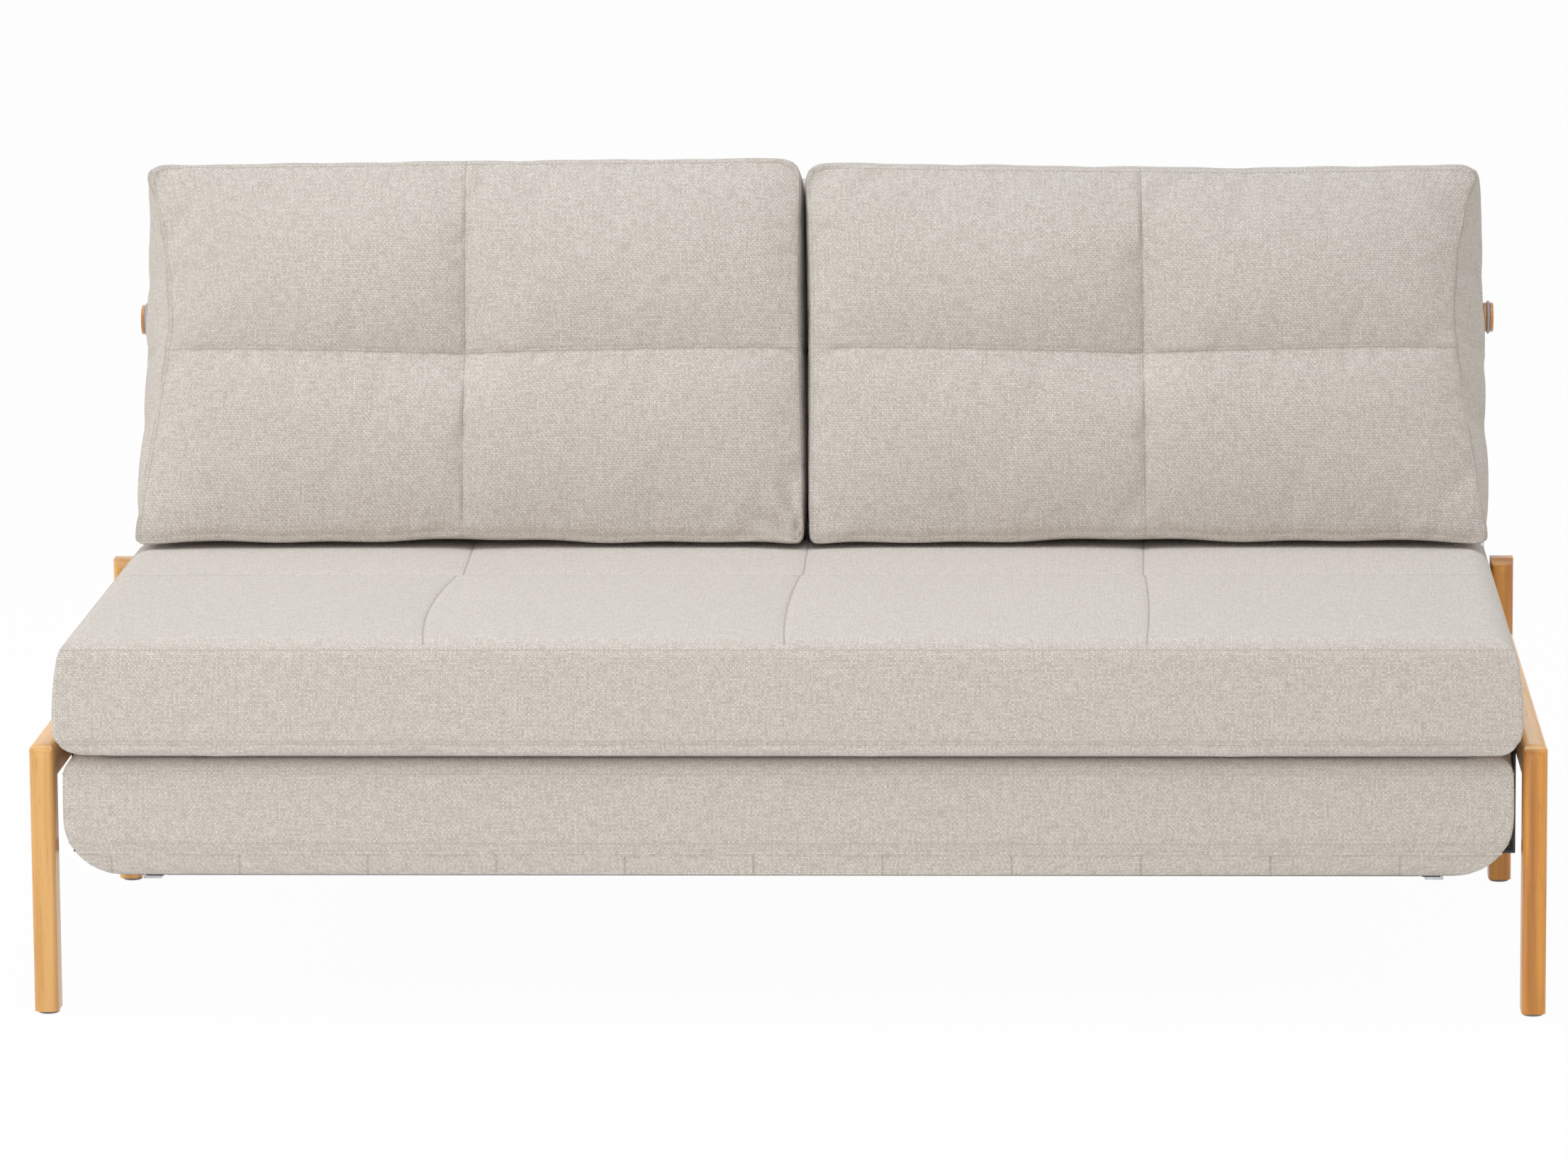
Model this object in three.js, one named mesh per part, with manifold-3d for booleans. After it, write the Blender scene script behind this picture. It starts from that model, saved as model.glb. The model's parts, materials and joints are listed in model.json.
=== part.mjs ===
// Fold-out sofa bed in millimetres, +Z up, the seat facing -Y.
// Two mattress sections lie one on the other on a base between two wooden side frames. The upper one opens
// forward like a book, and the back, which turns on toothed ratchet hinges, drops down level behind them.
// The origin is the centre of the footprint on the floor.
import * as THREE from "three";
import { mergeVertices } from "three/addons/utils/BufferGeometryUtils.js";
import Module from "manifold-3d";

const wasm = await Module();
wasm.setup();

// Driving dimensions
const overallWidth = 1505;
const gap = 0.3; // between touching pieces
const plate = 3; // thickness of the pressed steel parts

// Wooden side frames and their glides
const legThickness = 24; // along X
const legDepth = 40; // along Y, and the height of the top rail
const legSetback = 12; // from the front of the seat to the front of the leg
const legEdgeRadius = 7;
const frameCornerRadius = 14; // outer corner where the leg meets the rail
const railTop = 275;
const postSetback = 23; // from the rear of the sections to the rear post
const postTop = 354;
const glideHeight = 4;
const glideRadius = 11;
const glideStemRadius = 3;
const glideStemLength = 16;

// Mattress sections and their base
const sectionDepth = 667; // each folding section, front to back
const boardHeight = 20; // timber frame boards under a mattress
const clearanceUnder = 143.5; // floor to the base boards
const lowerTop = 262; // top of the lower mattress
const seatEdgeHeight = 380; // top of the upper mattress at its edges
const seatCrown = 7;
const mattressEdgeRadius = 16;
const upperInset = 5.5; // top edge of the upper mattress inside the rails
const upperBulge = 7.5; // how far its sides swell out
const upperTuck = 21; // how far its foot draws in
const lowerInset = 7.5;
const lowerSetback = 9.5; // the lower section stands back from the upper one
const lowerRearSetback = 15;
const cornerWide = 45; // the ends of the base turn up in this ellipse
const cornerHigh = 32;
const tapeThickness = 1.2;
const tapeDepth = 60;
const foldBeadRadius = 3.8;
const foldLineY = 4;
const boardSetback = 3;
const boardWidth = 24;
const sideBoardWidth = 78;
const slatWidth = 56;
const slatThickness = 9;
const slatPairs = 3;
const bracketWidth = 60;
const bracketFront = 150;
const bracketRearSetback = 92;

// Back, from the pivot of its hinges
const leanDegrees = 16; // from upright
const pivotSetback = 82; // behind the rear of the sections
const pivotRise = 71; // above the base boards' underside
const pivotToEnd = 77; // down to the lower end of the back, along it
const pivotToRear = 68; // to the rear face
const backLength = 620;
const backThickness = 115;
const backCrown = 5;
const backWiden = 6; // each side, above the rear posts
const widenFrom = 189; // above the pivot, along the back
const widenTo = 277;
const sidePlay = 0.9; // between the back's foot and the ratchet sectors
const armWidth = 30;
const armRadius = 3;

// Loose back cushions
const cushionHalfSpan = 717; // both cushions, from the middle
const cushionSplit = 2; // half of the gap between them
const cushionThickness = 165; // at its edges
const cushionCrown = 22;
const cushionTopSetback = 11.5; // below the top end of the back
const cushionRadius = 22;
const cushionTaper = 8; // narrower at the top

// Knobs on the back's sides
const knobFromTop = 147;
const knobRadius = 16;
const knobRingRadius = 18;
const knobDiscThickness = 3.8;
const knobRingThickness = 2.8;

// Ratchet hinges
const sectorThickness = 4;
const teeth = 8; // one tooth for each stop between upright and flat
const spareTeeth = 3;
const toothTip = 52;
const toothRoot = 46;
const pawlDegrees = 225; // where the pawl's nose stands, seen along X
const pinRadius = 6;
const pinHeadRadius = 10;
const pinHead = 4;
const sectorArmLength = 150;
const sectorArmWidth = 44;
const plateEyeRadius = 30;
const plateCornerRadius = 8;
const plateMargin = 14; // below the pawl's pin
const pawlPinRadius = 3.5;
const pawlRadius = 8;
const pawlReach = 32;
const noseClearance = 0.8;
const noseWidth = 1.6;
const noseRoot = 4.4;

// Pull-out frame, its runners and the folding legs
const tube = 20;
const tubeWall = 1.6;
const tubeRadius = 3;
const runnerPlay = 0.5;
const pulloutInset = 24;
const pulloutFront = 130;
const pulloutRearPast = 3; // behind the lower mattress
const pulloutSlatPlaces = [170, 320];
const strutRadius = 7.5;
const stubRadius = 4;
const strutPlay = 0.9;
const backLegFromTop = 120;
const backLegRadius = 8.5;
const stubDepth = 8;

// Shares of a size, and the powers that set how flat a form is
const slatEndShare = 0.385;
const valleyShare = 0.28;
const crestShare = 0.18;
const pawlTopShare = 0.6;
const pawlDropShare = 0.3;
const edgeKnotShare = 0.45;
const clearKnotShare = 1.3;
const swellReachShare = 1.25;
const swellFadeShare = 0.5;
const footHeightShare = 0.12;
const footTuckShare = 0.35;
const frontTuckShare = 0.75;
const topFaceShare = 0.9;
const seamCrownShare = 0.35;
const cushionSeamShare = 0.45;
const cushionWaistShare = 0.012;
const runnerLapShare = 0.75;
const strutTipShare = 0.4;
const strutShoulderShare = 0.8;
const seatCellPower = 3;
const seatEdgePower = 12;
const cushionCellPower = 2.6;
const cushionEdgePower = 6;
const backSidePower = 6;
const backEndPower = 4;

// Values that follow from them
const half = overallWidth / 2;
const railInner = half - legThickness;
const railBottom = railTop - legDepth;
const legBack = legSetback + legDepth;
const postFront = sectionDepth + postSetback;
const postBack = postFront + legDepth;
const footZ = glideHeight + gap;
const bed = clearanceUnder + boardHeight;
const foldLineZ = lowerTop + gap + tapeThickness;
const upperBottom = foldLineZ + gap;
const upperTopHalf = railInner - upperInset;
const lowerHalf = railInner - lowerInset;
const lowerRear = sectionDepth - lowerRearSetback;
const flatHalf = lowerHalf - cornerWide;
const slatPitch = (lowerHalf - sideBoardWidth) / (slatPairs + slatEndShare);
const pivotY = sectionDepth + pivotSetback;
const pivotZ = clearanceUnder + pivotRise;
const recline = THREE.MathUtils.degToRad(90 - leanDegrees);
const hingeOuter = railInner - gap;
const sectorOuter = hingeOuter - plate - gap;
const sectorInner = sectorOuter - sectorThickness;
const backFootHalf = sectorInner - sidePlay;
const backLow = -pivotToEnd;
const backHigh = backLow + backLength;
const backRear = -pivotToRear;
const backFront = backRear + backThickness;
const backBoards = backRear + boardHeight;
const armOuter = backFootHalf - backCrown - gap;
const toothPitch = recline / teeth;
const pawlAngle = THREE.MathUtils.degToRad(pawlDegrees);
const pulloutRear = lowerRear + pulloutRearPast;
const pulloutHalf = flatHalf - pulloutInset;
const pulloutTop = clearanceUnder - gap - plate - runnerPlay;
const pulloutBottom = pulloutTop - tube;
const pulloutLegY = pulloutFront + 2 * tube;
const pulloutLegZ = pulloutBottom + strutRadius - gap;
const backLegY = backHigh - backLegFromTop;
const backLegDepth = backRear + boardHeight / 2;

// Materials
const finish = (color, roughness, metalness = 0) =>
  new THREE.MeshStandardMaterial({ color, roughness, metalness });
const fabric = () => finish(0xcdc8c1, 0.95);
const oak = () => finish(0xd9a764, 0.55);
const beech = () => finish(0xe0c9a0, 0.6);
const steel = () => finish(0x3b3d40, 0.45, 0.9);
const zinc = () => finish(0xa9abae, 0.35, 1);
const greyPlastic = () => finish(0x9a9aa0, 0.6);

const sofa = new THREE.Group();
// The back is drawn lying flat, with its pivot at this group's origin, then stood up to its lean.
const back = new THREE.Group();
back.position.set(0, pivotY, pivotZ);
back.rotation.x = recline;
sofa.add(back);

function add(name, geometry, material, parent = sofa) {
  const mesh = new THREE.Mesh(geometry, material);
  mesh.name = name;
  parent.add(mesh);
  return mesh;
}

// Solids
function solid(geometry) {
  const bare = geometry.clone();
  bare.deleteAttribute("normal");
  bare.deleteAttribute("uv");
  const merged = mergeVertices(bare);
  return new wasm.Manifold(
    new wasm.Mesh({
      numProp: 3,
      vertProperties: new Float32Array(merged.attributes.position.array),
      triVerts: new Uint32Array(merged.index.array),
    }),
  );
}

function surface(manifold) {
  const mesh = manifold.getMesh();
  const geometry = new THREE.BufferGeometry();
  geometry.setAttribute("position", new THREE.BufferAttribute(mesh.vertProperties, 3));
  geometry.setIndex(new THREE.BufferAttribute(mesh.triVerts, 1));
  return geometry;
}

const joined = (...pieces) => surface(pieces.map(solid).reduce((a, b) => a.add(b)));
const without = (piece, ...cutters) =>
  surface(cutters.map(solid).reduce((a, b) => a.subtract(b), solid(piece)));
const within = (piece, limit) => surface(solid(piece).intersect(solid(limit)));

function box(x0, x1, y0, y1, z0, z1) {
  const geometry = new THREE.BoxGeometry(x1 - x0, y1 - y0, z1 - z0);
  return geometry.translate((x0 + x1) / 2, (y0 + y1) / 2, (z0 + z1) / 2);
}

function roundedOutline(a0, a1, b0, b1, r) {
  const shape = new THREE.Shape();
  shape.moveTo(a0 + r, b0);
  shape.lineTo(a1 - r, b0);
  shape.absarc(a1 - r, b0 + r, r, -Math.PI / 2, 0);
  shape.lineTo(a1, b1 - r);
  shape.absarc(a1 - r, b1 - r, r, 0, Math.PI / 2);
  shape.lineTo(a0 + r, b1);
  shape.absarc(a0 + r, b1 - r, r, Math.PI / 2, Math.PI);
  shape.lineTo(a0, b0 + r);
  shape.absarc(a0 + r, b0 + r, r, Math.PI, 1.5 * Math.PI);
  return shape;
}

// An outline in X and Y, drawn up Z
function alongZ(shape, z0, z1, curveSegments = 4) {
  const geometry = new THREE.ExtrudeGeometry(shape, { depth: z1 - z0, bevelEnabled: false, curveSegments });
  return geometry.translate(0, 0, z0);
}

// An outline in Y and Z, drawn along X
function alongX(shape, x0, x1, curveSegments = 4) {
  const geometry = new THREE.ExtrudeGeometry(shape, { depth: x1 - x0, bevelEnabled: false, curveSegments });
  return geometry.rotateX(Math.PI / 2).rotateZ(Math.PI / 2).translate(x0, 0, 0);
}

// An outline in X and Z, drawn along Y
function alongY(shape, y0, y1, curveSegments = 4) {
  const geometry = new THREE.ExtrudeGeometry(shape, { depth: y1 - y0, bevelEnabled: false, curveSegments });
  return geometry.rotateX(Math.PI / 2).translate(0, y1, 0);
}

function rodX(radius, x0, x1, y, z, segments = 20) {
  const geometry = new THREE.CylinderGeometry(radius, radius, Math.abs(x1 - x0), segments);
  return geometry.rotateZ(Math.PI / 2).translate((x0 + x1) / 2, y, z);
}

const mirrored = (side, geometry) => {
  if (side > 0) return geometry;
  const copy = geometry.index ? geometry.toNonIndexed() : geometry.clone();
  copy.scale(-1, 1, 1);
  const place = copy.attributes.position;
  for (let i = 0; i < place.count; i += 3) {
    const swap = new THREE.Vector3().fromBufferAttribute(place, i);
    place.setXYZ(i, place.getX(i + 1), place.getY(i + 1), place.getZ(i + 1));
    place.setXYZ(i + 1, swap.x, swap.y, swap.z);
  }
  copy.deleteAttribute("normal");
  copy.deleteAttribute("uv");
  return mergeVertices(copy);
};

// Every piece of a pair is drawn on the right and mirrored to the left.
function pair(name, geometry, material, parent = sofa) {
  for (const [label, side] of [["left", -1], ["right", 1]]) {
    add(`${name}_${label}`, mirrored(side, geometry), material(), parent);
  }
}

// Wooden side frames: front leg and top rail meet in a mitre, and the rail butts on the rear post, which
// stands above it and carries the hinge.
function sideFrames() {
  const middle = (railInner + half) / 2;
  const holeTop = footZ + glideStemLength + gap;
  const silhouette = new THREE.Shape();
  silhouette.moveTo(legSetback, 0);
  silhouette.lineTo(postBack, 0);
  silhouette.lineTo(postBack, railTop);
  silhouette.lineTo(legSetback + frameCornerRadius, railTop);
  const cornerY = legSetback + frameCornerRadius;
  silhouette.absarc(cornerY, railTop - frameCornerRadius, frameCornerRadius, Math.PI / 2, Math.PI);
  const limit = alongX(silhouette, railInner, half, 6);

  // The mitre runs from the outer corner of the frame to the inner one.
  const mitre = (shift, above) => {
    const wedge = new THREE.Shape();
    wedge.moveTo(legSetback - legDepth, railTop + legDepth + shift);
    if (!above) wedge.lineTo(legSetback - legDepth, railBottom - legDepth + shift);
    wedge.lineTo(legBack + legDepth, railBottom - legDepth + shift);
    if (above) wedge.lineTo(legBack + legDepth, railTop + legDepth + shift);
    return alongX(wedge, railInner - legDepth, half + legDepth);
  };
  const hole = (y) => alongZ(circle(middle, y, glideStemRadius + gap), 0, holeTop, 8);

  const section = roundedOutline(railInner, half, legSetback, legBack, legEdgeRadius);
  const blank = within(alongZ(section, footZ, railTop), limit);
  pair("front_leg", without(blank, mitre(-gap / 2, true), hole((legSetback + legBack) / 2)), oak);

  const railSection = roundedOutline(railInner, half, railBottom, railTop, legEdgeRadius);
  const rail = alongY(railSection, legSetback, postFront - gap);
  pair("side_rail", within(without(rail, mitre(gap / 2, false)), limit), oak);

  const postSection = roundedOutline(railInner, half, postFront, postBack, legEdgeRadius);
  const crest = roundedOutline(postFront, postBack, -frameCornerRadius, postTop, frameCornerRadius);
  const post = within(alongZ(postSection, footZ, postTop), alongX(crest, railInner, half, 6));
  pair("rear_post", without(post, hole((postFront + postBack) / 2)), oak);
}

function circle(a, b, r) {
  const shape = new THREE.Shape();
  shape.absarc(a, b, r, 0, 2 * Math.PI);
  return shape;
}

// Glides: a rounded pad with a stem pressed up into the foot
function glides() {
  const rim = glideHeight / 3;
  const profile = [
    [0, 0],
    [glideRadius - rim, 0],
    [glideRadius, rim],
    [glideRadius, glideHeight],
    [glideStemRadius, glideHeight],
    [glideStemRadius, glideHeight + glideStemLength],
    [0, glideHeight + glideStemLength],
  ].map(([r, z]) => new THREE.Vector2(r, z));
  const turned = new THREE.LatheGeometry(profile, 16).rotateX(Math.PI / 2);
  turned.translate((railInner + half) / 2, 0, 0);
  for (const [place, y] of [["front", (legSetback + legBack) / 2], ["rear", (postFront + postBack) / 2]]) {
    pair(`glide_${place}`, turned.clone().translate(0, y, 0), greyPlastic);
  }
}

// Base: timber boards under the lower mattress, with slats running front to back
const cornerSteps = 6;
const cornerX = (height) =>
  flatHalf + cornerWide * Math.sqrt(1 - ((cornerHigh - Math.min(height, cornerHigh)) / cornerHigh) ** 2);

// The turned-up end of a board, from its underside to its top
const boardEnd = Array.from({ length: cornerSteps + 1 }, (_, i) => {
  const height = (boardHeight * i) / cornerSteps;
  return new THREE.Vector2(cornerX(height) - gap, clearanceUnder + height);
});

function baseBoards() {
  const front = lowerSetback + boardSetback;
  const otherEnd = boardEnd.map((p) => new THREE.Vector2(-p.x, p.y)).reverse();
  const across = new THREE.Shape([...boardEnd, ...otherEnd]);
  add("base_front_board", alongY(across, front, front + boardWidth), fabric());
  add("base_rear_board", alongY(across, lowerRear - boardWidth, lowerRear), fabric());
  const from = front + boardWidth + gap;
  const to = lowerRear - boardWidth - gap;
  const inner = lowerHalf - sideBoardWidth;
  const side = new THREE.Shape([
    new THREE.Vector2(inner, clearanceUnder),
    ...boardEnd,
    new THREE.Vector2(inner, bed),
  ]);
  pair("base_side_board", alongY(side, from, to), fabric);
  for (let i = 0; i < slatPairs; i += 1) {
    const x = slatPitch * (i + 1 / 2) - slatWidth / 2;
    pair(`base_slat_${i + 1}`, box(x, x + slatWidth, from, to, bed - slatThickness, bed), beech);
  }
}

// Pressed brackets that hang the base from the wooden rails
function sideBrackets() {
  const outer = railInner - gap;
  const footTop = clearanceUnder - gap;
  const footInner = flatHalf - boardHeight;
  const places = [["front", bracketFront], ["rear", lowerRear - bracketRearSetback]];
  const shape = new THREE.Shape();
  shape.moveTo(outer, railTop - legEdgeRadius);
  shape.lineTo(outer - plate, railTop - legEdgeRadius);
  shape.lineTo(outer - plate, footTop);
  shape.lineTo(footInner, footTop);
  shape.lineTo(footInner, footTop - plate);
  shape.lineTo(outer, footTop - plate);
  for (const [place, y] of places) pair(`side_bracket_${place}`, alongY(shape, y, y + bracketWidth), steel);
}

// Soft blocks: each side of a unit box is divided at knots, its corners are rounded, and a form moves the
// points.
function knots(low, high, radius, cells, perCell) {
  const arc = radius * edgeKnotShare;
  const clear = radius * clearKnotShare;
  const count = cells * perCell;
  const even = Array.from({ length: count + 1 }, (_, i) => low + ((high - low) * i) / count);
  const inner = even.filter((value) => value > low + clear && value < high - clear);
  return [low, low + arc, low + radius, ...inner, high - radius, high - arc, high];
}

function softBlock(low, high, radius, divisions, form) {
  const axes = [0, 1, 2].map((i) => knots(low[i], high[i], radius, ...divisions[i]));
  const unit = new THREE.BoxGeometry(2, 2, 2, ...axes.map((list) => list.length - 1));
  unit.deleteAttribute("normal");
  unit.deleteAttribute("uv");
  const geometry = mergeVertices(unit);
  const place = geometry.attributes.position;
  const point = new THREE.Vector3();
  const core = new THREE.Vector3();
  const inset = new THREE.Vector3(radius, radius, radius);
  const coreLow = new THREE.Vector3(...low).add(inset);
  const coreHigh = new THREE.Vector3(...high).sub(inset);
  for (let i = 0; i < place.count; i += 1) {
    const share = [place.getX(i), place.getY(i), place.getZ(i)];
    const at = share.map((s, k) => axes[k][Math.round(((s + 1) / 2) * (axes[k].length - 1))]);
    point.set(...at);
    core.copy(point).clamp(coreLow, coreHigh);
    point.sub(core);
    if (point.length() > 0) point.setLength(radius);
    point.add(core);
    form(point, share);
    place.setXYZ(i, point.x, point.y, point.z);
  }
  return geometry;
}

// 1 at the middle of a span, 0 at its ends, flatter as the power rises
const dome = (value, low, high, power) => {
  const t = THREE.MathUtils.clamp((2 * (value - low)) / (high - low) - 1, -1, 1);
  return 1 - Math.abs(t) ** power;
};

// Swell of sewn cells between seams
function cells(value, low, high, count, power) {
  const width = (high - low) / count;
  const index = THREE.MathUtils.clamp(Math.floor((value - low) / width), 0, count - 1);
  return dome(value, low + index * width, low + (index + 1) * width, power);
}

// Both sections tuck in at the front where they meet, and the upper one swells over the rails.
const frontShare = (y, front) => Math.max(0, 1 - (y - front) / (2 * mattressEdgeRadius));

function upperMattress() {
  const low = [-upperTopHalf, 0, upperBottom];
  const high = [upperTopHalf, sectionDepth, seatEdgeHeight];
  const geometry = softBlock(low, high, mattressEdgeRadius, [[4, 5], [2, 5], [1, 3]], (p) => {
    const rise = (p.z - upperBottom) / (seatEdgeHeight - upperBottom);
    const wave = Math.sin(Math.PI * Math.min(1, rise * swellReachShare));
    const swell = Math.max(0, wave) * (1 - swellFadeShare * rise);
    const foot = Math.max(0, 1 - rise / footHeightShare) ** 2 * footTuckShare;
    p.x *= 1 + (upperBulge * swell - upperTuck * foot) / upperTopHalf;
    p.y += frontShare(p.y, 0) * (1 - swell) * foldLineY * frontTuckShare;
    if (rise > topFaceShare) {
      const across = cells(p.x, -upperTopHalf, upperTopHalf, 4, seatCellPower);
      const along = cells(p.y, 0, sectionDepth, 2, seatCellPower);
      const sides = dome(p.x, -upperTopHalf, upperTopHalf, seatEdgePower);
      const edge = sides * dome(p.y, 0, sectionDepth, seatEdgePower);
      p.z += seatCrown * edge * (seamCrownShare + (1 - seamCrownShare) * across * along);
    }
  });
  add("upper_mattress", geometry, fabric());
}

function lowerMattress() {
  const low = [-lowerHalf, lowerSetback, bed + gap];
  const high = [lowerHalf, lowerRear, lowerTop];
  const geometry = softBlock(low, high, mattressEdgeRadius / 2, [[1, 12], [1, 6], [1, 5]], (p) => {
    const limit = cornerX(p.z - clearanceUnder);
    p.x = THREE.MathUtils.clamp(p.x, -limit, limit);
    const side = dome(p.z, bed, lowerTop, 2);
    p.y += (frontShare(p.y, lowerSetback) * (1 - side) * foldBeadRadius) / 2;
  });
  add("lower_mattress", geometry, fabric());
}

// The sewn fold: a bead on the fold line with its tape lying between the two sections
function foldTape() {
  const bead = rodX(foldBeadRadius, -flatHalf, flatHalf, foldLineY, foldLineZ - tapeThickness / 2, 12);
  const tape = box(-flatHalf, flatHalf, foldLineY, foldLineY + tapeDepth, lowerTop + gap, foldLineZ);
  add("fold_hinge_tape", joined(bead, tape), fabric());
}

// Back: in its own group it lies flat, with Y along it and Z towards the sitter
function backMattress() {
  const low = [-backFootHalf, backLow, backBoards + gap];
  const high = [backFootHalf, backHigh, backFront];
  const geometry = softBlock(low, high, mattressEdgeRadius, [[2, 5], [1, 7], [1, 3]], (p) => {
    const middle = dome(p.x, low[0], high[0], backSidePower) * dome(p.y, backLow, backHigh, backEndPower);
    if (p.z > backFront - mattressEdgeRadius / 2) p.z += backCrown * middle;
    p.x *= 1 + (backWiden * THREE.MathUtils.smoothstep(p.y, widenFrom, widenTo)) / backFootHalf;
  });
  add("back_mattress", geometry, fabric(), back);
}

function backFrame() {
  const armInner = armOuter - armWidth;
  const armSection = roundedOutline(armInner, armOuter, backRear, backBoards, armRadius);
  const arm = alongY(armSection, backLow, backHigh, 2);
  pair("back_arm", without(arm, backLegSocket()), steel, back);
  const reach = armInner - gap;
  const section = (y) => roundedOutline(y, y + armWidth, backRear, backBoards, armRadius);
  add("back_bottom_rail", alongX(section(backLow), -reach, reach, 2), steel(), back);
  add("back_top_rail", alongX(section(backHigh - armWidth), -reach, reach, 2), steel(), back);
}

// Ratchet hinge: a toothed sector on the back turns on a pin through a plate on the rear post, over a pawl

// The sector is drawn as it stands at rest, about the pivot.
function sectorOutline() {
  const shape = new THREE.Shape();
  const from = pawlAngle - toothPitch * 2; // a gap faces the pawl at rest
  const total = teeth + spareTeeth;
  const valley = toothPitch * valleyShare;
  const crest = toothPitch * crestShare;
  for (let i = 0; i < total; i += 1) {
    const middle = from + toothPitch * (i + 1 / 2);
    for (const [offset, radius] of [
      [-toothPitch / 2, toothRoot],
      [-toothPitch / 2 + valley, toothRoot],
      [-crest, toothTip],
      [crest, toothTip],
      [toothPitch / 2 - valley, toothRoot],
    ]) {
      const a = middle + offset;
      const x = radius * Math.cos(a);
      const y = radius * Math.sin(a);
      if (i === 0 && offset === -toothPitch / 2) shape.moveTo(x, y);
      else shape.lineTo(x, y);
    }
  }
  const end = from + toothPitch * total;
  shape.absarc(0, 0, toothRoot, end, from + 2 * Math.PI, false);
  return shape;
}

function sectorArm() {
  const side = sectorArmWidth / 2;
  const shape = roundedOutline(-side, side, 0, sectorArmLength, sectorArmWidth / 3);
  return alongX(shape, sectorInner, sectorOuter, 5).rotateX(recline - Math.PI / 2);
}

function ratchetHinges() {
  const disc = alongX(sectorOutline(), sectorInner, sectorOuter, 10);
  const bore = rodX(pinRadius + gap, sectorInner - plate, sectorOuter + plate, 0, 0);
  const sector = without(joined(disc, sectorArm()), bore).rotateX(-recline);
  const flangeEnd = pivotToEnd + armWidth * 2;
  const flangeTop = backRear - gap;
  const flange = box(armOuter - armWidth, sectorOuter, pivotToEnd, flangeEnd, flangeTop - plate, flangeTop);
  const web = box(sectorInner, sectorOuter, pivotToEnd, flangeEnd, flangeTop - plate, 0);
  pair("ratchet_sector", joined(sector, flange, web), zinc, back);

  const [pawlY, pawlZ] = pawlPivot();
  const plateLow = pawlZ - plateMargin;
  const plateBack = pivotY + pinHeadRadius;
  const onPost = roundedOutline(postFront + plate, plateBack, plateLow, railTop, plateCornerRadius);
  const aroundPin = alongX(circle(pivotY, pivotZ, plateEyeRadius), hingeOuter - plate, hingeOuter, 12);
  const fixed = joined(alongX(onPost, hingeOuter - plate, hingeOuter), aroundPin);
  const hole = (radius, y, z, segments) =>
    rodX(radius + gap, hingeOuter - 2 * plate, hingeOuter + plate, y, z, segments);
  const holes = [hole(pinRadius, pivotY, pivotZ), hole(pawlPinRadius, pawlY, pawlZ, 14)];
  pair("hinge_plate", without(fixed, ...holes), zinc);

  const headFrom = hingeOuter + gap;
  const shank = rodX(pinRadius, sectorInner, headFrom + pinHead / 2, pivotY, pivotZ);
  const head = rodX(pinHeadRadius, headFrom, headFrom + pinHead, pivotY, pivotZ);
  pair("hinge_pin", joined(shank, head), zinc);
}

// The pawl swings on its own stub, with its nose just clear of the teeth.
function pawlNose() {
  const r = toothTip + noseClearance;
  return [pivotY + r * Math.cos(pawlAngle), pivotZ + r * Math.sin(pawlAngle)];
}

function pawlPivot() {
  const [y, z] = pawlNose();
  return [y - pawlReach * Math.sin(pawlAngle), z + pawlReach * Math.cos(pawlAngle)];
}

function pawls() {
  const [py, pz] = pawlPivot();
  const [ny, nz] = pawlNose();
  const noseHigh = toothTip - toothRoot + noseClearance;
  // Drawn with the nose at the origin, pointing up towards the pin, and the pivot to the right
  const nose = new THREE.Shape();
  nose.moveTo(-noseWidth / 2, 0);
  nose.lineTo(-noseRoot / 2, -noseHigh);
  nose.lineTo(-noseRoot / 2, -noseHigh - pawlRadius);
  nose.lineTo(pawlReach, -pawlRadius);
  nose.lineTo(pawlReach, noseHigh * (pawlDropShare - pawlTopShare));
  nose.lineTo(noseRoot / 2, -noseHigh);
  nose.lineTo(noseWidth / 2, 0);
  const lever = alongX(nose, sectorInner, sectorOuter).rotateX(pawlAngle - 1.5 * Math.PI);
  lever.translate(0, ny, nz);
  const boss = rodX(pawlRadius, sectorInner, sectorOuter, py, pz, 16);
  const stub = rodX(pawlPinRadius, sectorOuter - plate, hingeOuter, py, pz, 14);
  pair("pawl", joined(lever, boss, stub), zinc);
}

// Knobs: two wooden discs with a grey ring between, on a stem through the inner disc
function knobs() {
  const y = backHigh - knobFromTop;
  const z = backRear + backThickness / 2;
  const inner = backFootHalf + backWiden + gap;
  const ringFrom = inner + knobDiscThickness + gap;
  const outerFrom = ringFrom + knobRingThickness + gap;
  const stem = knobRadius / 4;
  const disc = (from, holeTo) => without(
    rodX(knobRadius, from, from + knobDiscThickness, y, z, 28),
    rodX(stem + gap, from - plate, holeTo, y, z, 12),
  );
  pair("knob_inner_disc", disc(inner, ringFrom + plate), oak, back);
  const ring = joined(
    rodX(knobRingRadius, ringFrom, ringFrom + knobRingThickness, y, z, 28),
    rodX(stem, inner, outerFrom + knobDiscThickness / 2 - gap, y, z, 12),
  );
  pair("knob_ring", ring, greyPlastic, back);
  pair("knob_outer_disc", disc(outerFrom, outerFrom + knobDiscThickness / 2), oak, back);
}

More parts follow.
